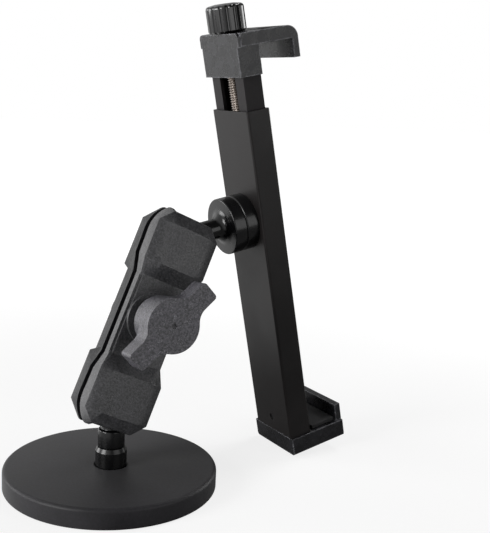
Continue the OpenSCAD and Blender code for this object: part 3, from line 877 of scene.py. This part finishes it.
def eased(body: str, *rows: tuple[str, str, float, Finish]) -> None:
    """Dresses eased copies of solids; rows give the solid, how it is made, its edge and finish."""
    for node, made, edge, finish in rows:
        dressed(eased_copy(node, f"{node}_{made}", edge), finish, body, node)


def kept(finish: Finish, *nodes: str) -> None:
    """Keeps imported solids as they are, with a better finish.

    Args:
        finish: the finish.
        nodes: the solids' names.
    """
    for node in nodes:
        coated(frame["nodes"][node], finish)
        log.info("%s kept, in %s", node, finish.name)


# ---------------- recipes
class Recipe(Group):
    """A Geometry Nodes tree with named inputs that is run once, into a plain mesh."""

    def __init__(self, name: str, **held: tuple[str, ...]) -> None:
        """Makes the tree, with a geometry and a finish beside its own inputs.

        Args:
            name: the tree's name.
            held: the labels of its own inputs, by what they hold.
        """
        own = {label: kind.capitalize() for kind, labels in held.items() for label in labels}
        inputs = {"Geometry": "Geometry", **own, "Finish": "Material"}
        super().__init__(name, "GeometryNodeTree", inputs, {"Geometry": "Geometry"})

    def spot(self) -> list[Socket]:
        """X, Y and Z of each point."""
        place = self.add("GeometryNodeInputPosition").outputs[0]
        return list(self.add("ShaderNodeSeparateXYZ", {0: place}).outputs)

    def moved(self, geometry: Socket, *spot: Socket) -> Socket:
        """Moves each point of a geometry to X, Y and Z, and returns the geometry."""
        place = self.add("ShaderNodeCombineXYZ", dict(enumerate(spot))).outputs[0]
        return self.add("GeometryNodeSetPosition", {"Geometry": geometry, "Position": place}).outputs[0]

    def end(self, geometry: Socket) -> "Recipe":
        """Ends the tree in real geometry with its material.

        Args:
            geometry: what the tree has made.

        Returns:
            The recipe.
        """
        real = self.add("GeometryNodeRealizeInstances", {0: geometry}).outputs[0]
        coat = self.add("GeometryNodeSetMaterial", {"Geometry": real, "Material": self["Finish"]})
        self.feed(self.sink.inputs[0], coat.outputs[0])
        return self

    def run(
        self,
        name: str,
        values: dict[str, object],
        place: Placement | None,
        carrier: Piece | None = None,
        crease: float = 40,
    ) -> Piece:
        """Runs the tree on a carrier and lays the result into the frame.

        Args:
            name: the new piece's name.
            values: values of the named inputs.
            place: where the piece goes, or None where it is already in metres.
            carrier: the object whose mesh the tree starts from, if it needs one.
            crease: faces that meet at more than this many degrees stay creased.

        Returns:
            The piece, as a plain mesh.
        """
        piece = carrier or linked(name, bpy.data.meshes.new(name))
        piece.name = name
        step = piece.modifiers.new("recipe", "NODES")
        step.node_group = self.tree
        for item in self.tree.interface.items_tree:
            if item.in_out == "INPUT" and item.name in values:
                step[item.identifier] = values[item.name]
        flattened(piece)
        if place:
            piece.data.transform(place.matrix())
        return softened(piece, crease)


@cache
def thread_recipe() -> Recipe:
    """Rod with a rolled right-hand thread up to a plain length. Sizes are in millimetres.

    Returns:
        The recipe, which needs no carrier.
    """
    sizes = ("Length", "Threaded", "Radius", "Depth", "Pitch")
    recipe = Recipe("rolled_thread", float=sizes, int=("Rows", "Sides"))
    calc = recipe.calc
    flank, tooth_end, tip_share, seam, nothing = 0.38, 0.96, 0.8, 0.002, 0.001
    columns = calc("ADD", recipe["Sides"], 1)
    rows = calc("ADD", recipe["Rows"], 1)
    grid = recipe.add(
        "GeometryNodeMeshGrid",
        {"Size X": 1.0, "Size Y": 1.0, "Vertices X": columns, "Vertices Y": rows},
    )
    x, y, _ = recipe.spot()
    turn = calc("ADD", x, 0.5)
    height = calc("MULTIPLY", calc("ADD", y, 0.5), recipe["Length"])
    phase = calc("FRACT", calc("SUBTRACT", calc("DIVIDE", height, recipe["Pitch"]), turn))
    rise = calc("DIVIDE", phase, flank)
    fall = calc("DIVIDE", calc("SUBTRACT", tooth_end, phase), flank)
    tooth = calc("MAXIMUM", calc("MINIMUM", calc("MINIMUM", rise, fall), 1.0), 0.0)
    root = calc("SUBTRACT", recipe["Radius"], recipe["Depth"])
    radius = calc("MULTIPLY_ADD", tooth, recipe["Depth"], root)
    plain = calc("GREATER_THAN", height, recipe["Threaded"])
    radius = calc("MAXIMUM", radius, calc("MULTIPLY", plain, recipe["Radius"]))
    to_end = calc("MINIMUM", height, calc("SUBTRACT", recipe["Length"], height))
    radius = calc("MINIMUM", radius, calc("MULTIPLY_ADD", recipe["Radius"], tip_share, to_end))
    radius = calc("MULTIPLY", radius, calc("GREATER_THAN", to_end, nothing))
    angle = calc("MULTIPLY", turn, 2 * math.pi)
    across, aside = (calc("MULTIPLY", radius, calc(part, angle)) for part in ("COSINE", "SINE"))
    rod = recipe.moved(grid.outputs[0], across, aside, height)
    merged = recipe.add("GeometryNodeMergeByDistance", {"Geometry": rod, "Distance": seam})
    return recipe.end(merged.outputs[0])


@cache
def flute_recipe() -> Recipe:
    """Presses finger flutes into a turned knob's rim. Sizes are in millimetres.

    Returns:
        The recipe, whose carrier is the turned knob.
    """
    recipe = Recipe("finger_flutes", int=("Flutes",), float=("Depth", "Rim", "Run In"))
    calc = recipe.calc
    widening, hollow, nothing = 0.1, 0.6, 0.001
    x, y, z = recipe.spot()
    radius = calc("SQRT", calc("ADD", calc("MULTIPLY", x, x), calc("MULTIPLY", y, y)))
    wave = calc("COSINE", calc("MULTIPLY", calc("ARCTAN2", y, x), recipe["Flutes"]))
    wave = calc("DIVIDE", calc("ADD", wave, widening), 1 + widening)
    groove = calc("POWER", calc("MAXIMUM", wave, 0.0), hollow)
    start = calc("SUBTRACT", recipe["Rim"], recipe["Run In"])
    fade = calc("DIVIDE", calc("SUBTRACT", radius, start), recipe["Run In"], clamp=True)
    cut = calc("MULTIPLY", calc("MULTIPLY", groove, recipe["Depth"]), fade)
    shrink = calc("DIVIDE", calc("SUBTRACT", radius, cut), calc("MAXIMUM", radius, nothing))
    across, aside = (calc("MULTIPLY", side, shrink) for side in (x, y))
    return recipe.end(recipe.moved(recipe["Geometry"], across, aside, z))


@cache
def spring_recipe() -> Recipe:
    """Coil spring of round wire. Sizes are in millimetres.

    Returns:
        The recipe, which needs no carrier.
    """
    recipe = Recipe("coil_spring", float=("Turns", "Coil Radius", "Rise", "Wire Radius"))
    coil = recipe.add(
        "GeometryNodeCurveSpiral",
        {
            "Resolution": 48,
            "Rotations": recipe["Turns"],
            "Start Radius": recipe["Coil Radius"],
            "End Radius": recipe["Coil Radius"],
            "Height": recipe["Rise"],
        },
    )
    round_wire = {"Resolution": 16, "Radius": recipe["Wire Radius"]}
    wire = recipe.add("GeometryNodeCurvePrimitiveCircle", round_wire)
    swept = recipe.add(
        "GeometryNodeCurveToMesh",
        {"Curve": coil.outputs[0], "Profile Curve": wire.outputs[0], "Fill Caps": True},
    )
    return recipe.end(swept.outputs[0])


@cache
def screw_recipe() -> Recipe:
    """Puts one screw on each point, all turned the same way.

    Returns:
        The recipe, whose carrier is a mesh of points.
    """
    recipe = Recipe("screw_set", object=("Screw",), rotation=("Turn",))
    pattern = recipe.add("GeometryNodeObjectInfo", {"Object": recipe["Screw"]})
    points = recipe.add("GeometryNodeMeshToPoints", {"Mesh": recipe["Geometry"]})
    placed = recipe.add(
        "GeometryNodeInstanceOnPoints",
        {
            "Points": points.outputs[0],
            "Instance": pattern.outputs["Geometry"],
            "Rotation": recipe["Turn"],
        },
    )
    return recipe.end(placed.outputs[0])


@dataclass(frozen=True)
class SocketScrew:
    """A screw with a hexagon socket, in millimetres. Its zero is the middle of its length.

    Attributes:
        tip: radius of the end.
        shank: radius of the shank.
        head: radius of each ring of the head, and how far it lies below the top.
        socket: radius of the socket's mouth, radius to its flats, and its depth.
        break_edge: height of the chamfer at the end.
        mouth: height of the chamfer at the socket's mouth.
    """

    tip: float
    shank: float
    head: tuple[Point, ...]
    socket: Triple
    break_edge: float = 0.3
    mouth: float = 0.05

    def pattern(self, name: str, length: float) -> Piece:
        """Turns one screw.

        Args:
            name: the object's name.
            length: the screw's length.

        Returns:
            The screw at zero, in metres.
        """
        wide, flat, deep = self.socket
        top = length / 2
        stem = [(0, -top), (self.tip, -top), (self.shank, self.break_edge - top)]
        stem += [(radius, top - drop) for radius, drop in self.head]
        hole = [(wide, top), (flat, top - self.mouth), (flat, top - deep)]
        rings = range(len(stem), len(stem) + len(hole))
        screw = lathe(name, stem + hole + [(0, top - deep)], None, segments=36, hexagons=rings)
        screw.data.transform(Matrix.Scale(MM, 4))
        return screw

    def dressed_set(self, node: str, place: Placement, body: str) -> None:
        """Sets a copy of the screw in the place of each of a node's solids.

        Args:
            node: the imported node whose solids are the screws.
            place: gives the screws' direction.
            body: the body they move with.
        """
        low, high, _ = reach(node, place)
        name = node + "_set"
        pattern = self.pattern(name + "_pattern", high - low)
        spots = bpy.data.meshes.new(name)
        spots.from_pydata([tuple(c) for c in solid_centres(node)], [], [])
        values = {"Screw": pattern, "Turn": place.matrix().to_quaternion().to_euler()}
        screws = screw_recipe().run(name, values, None, carrier=linked(name, spots))
        bpy.data.objects.remove(pattern)
        dressed(screws, PLATED, body, node)


# ---------------- the stand's sub-assemblies
@dataclass
class Base:
    """Magnet disc in a rubber jacket, with a threaded bush in its middle."""

    rim_round: float = 1.6
    foot_round: float = 0.8
    groove_in: float = 4.9
    groove_half: float = 0.6
    groove_depth: float = 0.25
    groove_round: float = 0.3
    lip: float = 0.5
    lip_rounds: Point = (0.35, 0.1)
    disc_radius: float = 41.0
    disc_low: float = 4.5
    disc_high: float = 7.5
    bush_flange: float = 9.0
    flange_low: float = 2.5
    bush_plain: float = 9.0

    def bush_radius(self) -> float:
        """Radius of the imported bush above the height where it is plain, in millimetres."""
        points = [v.co for v in frame["nodes"]["base_bush"].data.vertices]
        return max(math.hypot(p.x, p.y) for p in points if p.z > self.bush_plain * MM) / MM

    def jacket(self) -> Piece:
        """Turns the rubber jacket, wrapped over the disc's edge and top.

        Returns:
            The jacket.
        """
        low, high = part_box("base_jacket")
        radius = (high.x - low.x) / 2 / MM
        top = (high.z - low.z) / MM
        neck = self.bush_radius()
        groove = radius - self.groove_in
        outer, inner = self.lip_rounds
        corners = [
            (0, 0, 0), (groove - self.groove_half, 0, self.groove_round),
            (groove, self.groove_depth, self.groove_round),
            (groove + self.groove_half, 0, self.groove_round),
            (radius, 0, self.foot_round), (radius, top, self.rim_round),
            (neck + self.lip, top, outer), (neck, top - self.lip, inner), (neck, self.disc_high, 0),
            (self.disc_radius, self.disc_high, 0), (self.disc_radius, self.disc_low, 0),
            (self.bush_flange, self.disc_low, 0), (self.bush_flange, self.flange_low, 0),
            (0, self.flange_low, 0),
        ]
        profile = rounded(corners, steps=8)
        return lathe("base_jacket_skin", profile, Placement((0, 0, low.z)), segments=192)

    def make(self) -> None:
        """Builds and dresses the base."""
        dressed(self.jacket(), JACKET, "base", "base_jacket")
        kept(GLOSS_STUD, "base_bush")
        kept(PLATED, "base_steel_disc", "base_magnets")


@dataclass
class LowerStud:
    """Threaded post with a ball on a thin neck, screwed into the base."""

    thread_radius: float = 3.9
    post_radius: float = 5.55
    post_foot: float = 16.6
    post_top: float = 24.2
    neck_radius: float = 4.25
    neck_fillet: float = 0.5
    ball_radius: float = 8.5
    foot_round: float = 0.4
    shoulder_round: float = 0.7

    def make(self) -> None:
        """Builds and dresses the post."""
        low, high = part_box("lower_ball_stud")
        foot = low.z / MM
        start = -math.acos(self.neck_radius / self.ball_radius)
        ball = ball_outline(self.ball_radius, high.z / MM - self.ball_radius, start, math.pi / 2)
        corners = [
            (0, foot, 0), (self.thread_radius, foot, self.foot_round),
            (self.thread_radius, self.post_foot, 0), (self.post_radius, self.post_foot, self.foot_round),
            (self.post_radius, self.post_top, self.shoulder_round),
            (self.neck_radius, self.post_top, self.neck_fillet), (self.neck_radius, ball[0][1], 0),
        ]
        piece = lathe("lower_ball_stud_turned", rounded(corners)[:-1] + ball, Placement())
        dressed(piece, GLOSS_STUD, "lower_stud", "lower_ball_stud")


@dataclass
class BallArm:
    """The two moulded arm halves, their bolt, spring and washer, and the wing knob."""

    edge: float = 1.0
    bolt_edge: float = 0.3
    washer_edge: float = 0.15
    knob_edge: float = 1.2
    knob_bore: float = 6.0
    turns: float = 3.5
    wire: float = 0.55
    coil: float = 5.2

    def spring(self, place: Placement) -> Piece:
        """Winds the spring that parts the halves when the knob is slackened.

        Args:
            place: the bolt's axis.

        Returns:
            The spring.
        """
        low, high, _ = reach("arm_spring", place)
        values = {
            "Turns": self.turns,
            "Coil Radius": self.coil,
            "Rise": high - low - 2 * self.wire,
            "Wire Radius": self.wire,
            "Finish": PLATED.material(),
        }
        return spring_recipe().run("arm_spring_coil", values, place.raised(low + self.wire))

    def make(self) -> None:
        """Builds and dresses the arm."""
        place = placed_on("wing_knob_turn")
        # the rear half takes the darker copy of the nylon, painted shade
        eased("arm_rear", ("arm_half_rear", "moulding", self.edge, SHADED_REAR_NYLON))
        eased("arm_front", ("arm_half_front", "moulding", self.edge, ARM_NYLON))
        eased("arm_rear", ("clamp_bolt", "eased", self.bolt_edge, PLATED))
        dressed(self.spring(place), PLATED, "arm_rear", "arm_spring")
        eased("arm_front", ("knob_washer", "eased", self.washer_edge, PLATED))
        bore = (place, self.knob_bore)
        knob = eased_copy("wing_knob", "wing_knob_moulding", self.knob_edge, segments=4, bore=bore)
        dressed(knob, WING_NYLON, "wing_knob", "wing_knob")
        kept(BRASS, "knob_insert")


@dataclass
class UpperStud:
    """Ball, neck and flange that carry the clamp, with the ring that holds it on."""

    ball_radius: float = 8.5
    neck_radius: float = 4.45
    flare: float = 4.2
    flange_low: float = 22.4
    flange_high: float = 28.0
    edge: float = 0.55
    back_edge: float = 0.33
    spigot_radius: float = 5.9
    spigot_round: float = 0.3

    def make(self) -> None:
        """Builds and dresses the stud."""
        place = placed_on("clamp_tilt", "clamp_spin")
        _, end, flange = reach("upper_ball_stud", place)
        neck = math.acos(self.neck_radius / self.ball_radius)
        ball = ball_outline(self.ball_radius, 0, -math.pi / 2, neck)
        corners = [
            (*ball[-1], 0), (self.neck_radius, self.flange_low, self.flare),
            (flange, self.flange_low, self.edge), (flange, self.flange_high, self.back_edge),
            (self.spigot_radius, self.flange_high, 0), (self.spigot_radius, end, self.spigot_round),
            (0, end, 0),
        ]
        profile = ball + rounded(corners, steps=10)[1:]
        piece = lathe("upper_ball_stud_turned", profile, place, segments=128)
        dressed(piece, GLOSS_STUD, "upper_stud", "upper_ball_stud")
        kept(PLATED, "stud_retaining_ring")


@dataclass
class ClampFrame:
    """Collar, square tube, nut, pads and the fixed lower jaw."""

    collar_edge: float = 0.35
    tube_edge: float = 0.3
    strip_edge: float = 0.35
    jaw_edge: float = 0.7
    pad_edge: float = 0.4
    collar_screw: SocketScrew = SocketScrew(
        tip=0.7, shank=0.95, head=((0.95, 0.9), (1.85, 0.05), (1.8, 0)), socket=(0.62, 0.6, 0.7)
    )

    def make(self) -> None:
        """Builds and dresses the clamp's fixed part."""
        body = "clamp_frame"
        eased(
            body,
            ("swivel_collar", "turned", self.collar_edge, GLOSS_STUD),
            ("spine_tube", "drawn", self.tube_edge, TUBE_BLACK),
            ("spine_pad", "sheet", self.strip_edge, PAD_RUBBER),
            ("lower_jaw", "moulding", self.jaw_edge, JAW_BLACK),
            ("lower_jaw_pad", "sheet", self.pad_edge, PAD_RUBBER),
        )
        kept(GLOSS_STUD, "lower_jaw_screw")
        kept(BRASS, "screw_nut")
        self.collar_screw.dressed_set("collar_screws", placed_on("clamp_spin"), body)


@dataclass
class UpperJaw:
    """The hooked jaw that slides, with the slider that guides it in the tube."""

    slider_edge: float = 0.25
    jaw_edge: float = 0.7
    pad_edge: float = 0.4
    jaw_screw: SocketScrew = SocketScrew(
        tip=0.9,
        shank=1.2,
        head=((1.2, 1.2), (2.25, 1.2), (2.25, 0.5), (1.7, 0)),
        socket=(0.85, 0.8, 0.8),
    )

    def make(self) -> None:
        """Builds and dresses the moving jaw."""
        body = "upper_jaw"
        eased(
            body,
            ("inner_slider", "section", self.slider_edge, SLIDER_GREY),
            ("upper_jaw", "moulding", self.jaw_edge, JAW_BLACK),
            ("upper_jaw_pad", "sheet", self.pad_edge, PAD_RUBBER),
        )
        kept(PLATED, "thrust_washer")
        self.jaw_screw.dressed_set("jaw_screws", placed_on("clamp_spin"), body)


@dataclass
class LeadScrew:
    """Threaded rod with its clip and the fluted knob that turns it."""

    radius: float = 2.9
    depth: float = 0.45
    pitch: float = 1.0
    plain: float = 24.6
    rows_per_turn: int = 8
    bore_radius: float = 2.8
    bore_depth: float = 7.0
    chamfer: float = 0.9
    chamfer_rounds: Point = (0.1, 0.3)
    rim_drop: float = 0.75
    rim_round: float = 1.5
    crown_in: float = 4.0
    crown_drop: float = 0.1
    crown_round: float = 1.0
    flutes: int = 16
    flute_depth: float = 0.45
    flute_run_in: float = 1.6
    steps_per_flute: int = 14
    sides: int = 48

    def screw(self, place: Placement) -> Piece:
        """Rolls the rod, threaded up to its plain top.

        Args:
            place: the screw's axis.

        Returns:
            The rod.
        """
        low, high, _ = reach("lead_screw", place)
        values = {
            "Length": high - low,
            "Threaded": high - low - self.plain,
            "Radius": self.radius,
            "Depth": self.depth,
            "Pitch": self.pitch,
            "Rows": round((high - low) / self.pitch * self.rows_per_turn),
            "Sides": self.sides,
            "Finish": SCREW_STEEL.material(),
        }
        return thread_recipe().run("lead_screw_threaded", values, place.raised(low), crease=60)

    def knob(self, place: Placement) -> Piece:
        """Turns and flutes the knob that is pressed on the rod's top.

        Args:
            place: the screw's axis.

        Returns:
            The knob.
        """
        low, high, radius = reach("top_knob", place)
        top = high - low
        under, over = self.chamfer_rounds
        corners = [
            (self.bore_radius, 0, 0), (radius - self.chamfer, 0, under), (radius, self.chamfer, over),
            (radius, top - self.rim_drop, self.rim_round),
            (radius - self.crown_in, top - self.crown_drop, self.crown_round), (0, top, 0),
        ]
        bore = [(0, self.bore_depth), (self.bore_radius, self.bore_depth)]
        profile = bore + rounded(corners, steps=8)
        blank = lathe("top_knob_blank", profile, None, segments=self.flutes * self.steps_per_flute)
        values = {
            "Flutes": self.flutes,
            "Depth": self.flute_depth,
            "Rim": radius,
            "Run In": self.flute_run_in,
            "Finish": KNOB_BLACK.material(),
        }
        return flute_recipe().run("top_knob_fluted", values, place.raised(low), carrier=blank)

    def make(self) -> None:
        """Builds and dresses the screw."""
        place = placed_on("lead_screw_turn")
        dressed(self.screw(place), SCREW_STEEL, "lead_screw", "lead_screw")
        dressed(self.knob(place), KNOB_BLACK, "lead_screw", "top_knob")
        kept(PLATED, "screw_clip")


# ---------------- studio
@dataclass(frozen=True)
class SoftLight:
    """A large soft lamp: where it stands, its side, its power in watts and what it faces."""

    name: str
    place: Triple
    size: float
    power: float
    aim: Triple = (0.0, -0.03, 0.09)

    def make(self) -> None:
        """Hangs the lamp."""
        lamp = bpy.data.lights.new(self.name, "AREA")
        lamp.shape = "SQUARE"
        lamp.size = self.size
        lamp.energy = self.power
        item = linked(self.name, lamp)
        item.location = self.place
        facing = Vector(self.aim) - Vector(self.place)
        item.rotation_euler = facing.to_track_quat("-Z", "Y").to_euler()


@dataclass
class Studio:
    """Pale floor, soft lamps, pale surroundings and the camera."""

    stand: Triple = (-0.3392, 0.1482, 0.1618)
    aim: Triple = (-0.0044, -0.0584, 0.0896)
    roll: float = 2.69
    lens: float = 62.9
    sensor: float = 36.0
    room: float = 0.05
    dark_side: float = 0.1
    lit_side: Triple = (0.45, 0.9, 0.0)
    lit_span: Point = (-0.2, 0.32)
    floor_half: float = 4.0
    floor_drop: float = 0.0001
    floor_glow: float = 0.795
    glow_span: Point = (0.12, 0.7)
    floor_tone: float = 0.22
    lamps: tuple[SoftLight, ...] = (
        SoftLight("key_left", (-0.16, 1.25, 0.42), 0.6, 15.0),
        SoftLight("fill_behind", (0.95, 1.0, 0.3), 0.6, 7.0),
        SoftLight("fill_front", (0.1, -1.25, 0.35), 0.6, 5.0),
        SoftLight("glance_right", (-1.05, -0.4, 0.22), 0.95, 5.5),
        SoftLight("rim_above", (0.16, -0.55, 0.95), 0.3, 2.3),
    )

    def camera(self) -> None:
        """Sets the camera, level but for its small roll."""
        place = Vector(self.stand)
        ahead = (Vector(self.aim) - place).normalized()
        level = ahead.cross(Vector((0, 0, 1))).normalized()
        roll = math.radians(self.roll)
        right = level * math.cos(roll) + level.cross(ahead) * math.sin(roll)
        turn = Matrix((right, right.cross(ahead), -ahead)).transposed().to_4x4()
        item = linked("camera", bpy.data.cameras.new("camera"))
        item.matrix_world = Matrix.Translation(place) @ turn
        item.data.sensor_fit = "VERTICAL"
        item.data.sensor_height = self.sensor
        item.data.lens = self.lens
        bpy.context.scene.camera = item

    def seen_strength(self, tree: Tree, way: Socket, otherwise: float) -> Socket:
        """White to the eye, and to mirrored rays white on the lit side of the room.

        Args:
            tree: the tree to wire it in.
            way: direction from the stand, or a place round it.
            otherwise: strength for every other ray.

        Returns:
            The strength of the surroundings for each kind of ray.
        """
        flat = tree.add("ShaderNodeVectorMath", {0: way}, operation="NORMALIZE").outputs[0]
        towards = {0: flat, 1: Vector(self.lit_side).normalized()}
        along = tree.add("ShaderNodeVectorMath", towards, operation="DOT_PRODUCT")
        lit = tree.between(along.outputs["Value"], *self.lit_span, self.dark_side, 1.0)
        path = tree.add("ShaderNodeLightPath").outputs
        mirrored = tree.calc("MAXIMUM", path["Is Glossy Ray"], path["Is Transmission Ray"])
        gain = tree.calc("SUBTRACT", lit, otherwise)
        strength = tree.calc("MULTIPLY_ADD", mirrored, gain, otherwise)
        return tree.calc("MAXIMUM", strength, path["Is Camera Ray"])

    def floor(self) -> None:
        """Lays the pale floor, which keeps the stand's shadow."""
        mesh = bpy.data.meshes.new("floor")
        sides = ((-1, -1), (1, -1), (1, 1), (-1, 1))
        corners = [(x * self.floor_half, y * self.floor_half, -self.floor_drop) for x, y in sides]
        mesh.from_pydata(corners, [], [(0, 1, 2, 3)])
        surface = Surface("pale_floor")
        away = surface.add("ShaderNodeVectorMath", {0: surface.place}, operation="LENGTH")
        glow = surface.between(away.outputs["Value"], *self.glow_span, self.floor_glow, 1.0)
        seen = self.seen_strength(surface, surface.place, 0.0)
        surface.set(
            Base_Color=(*(self.floor_tone,) * 3, 1),
            Roughness=0.9,
            Specular_IOR_Level=0.1,
            Emission_Color=(1, 1, 1, 1),
            Emission_Strength=surface.calc("MULTIPLY", seen, glow),
        )
        mesh.materials.append(surface.material)
        floor = linked("floor", mesh)

    def surroundings(self) -> None:
        """Makes the pale surroundings: white where seen or mirrored, and softer as light."""
        world = bpy.data.worlds.new("pale_room")
        bpy.context.scene.world = world
        world.use_nodes = True
        tree = Tree(world.node_tree)
        way = tree.add("ShaderNodeTexCoord").outputs["Generated"]
        strength = self.seen_strength(tree, way, self.room)
        sky = tree.add("ShaderNodeBackground", {"Color": (1, 1, 1, 1), "Strength": strength})
        tree.add("ShaderNodeOutputWorld", {0: sky.outputs[0]})

    def make(self) -> None:
        """Sets up the whole studio."""
        self.camera()
        self.floor()
        self.surroundings()
        for lamp in self.lamps:
            lamp.make()
        bpy.context.scene.view_settings.view_transform = "Standard"


def main() -> None:
    """Builds the studio, then the stand from its base to its top knob."""
    logging.basicConfig(level=logging.INFO, format="%(name)s: %(message)s")
    Studio().make()
    for part in (Base(), LowerStud(), BallArm(), UpperStud(), ClampFrame(), UpperJaw(), LeadScrew()):
        part.make()
        log.info("%s made", type(part).__name__)


if __name__ == "__main__":
    main()
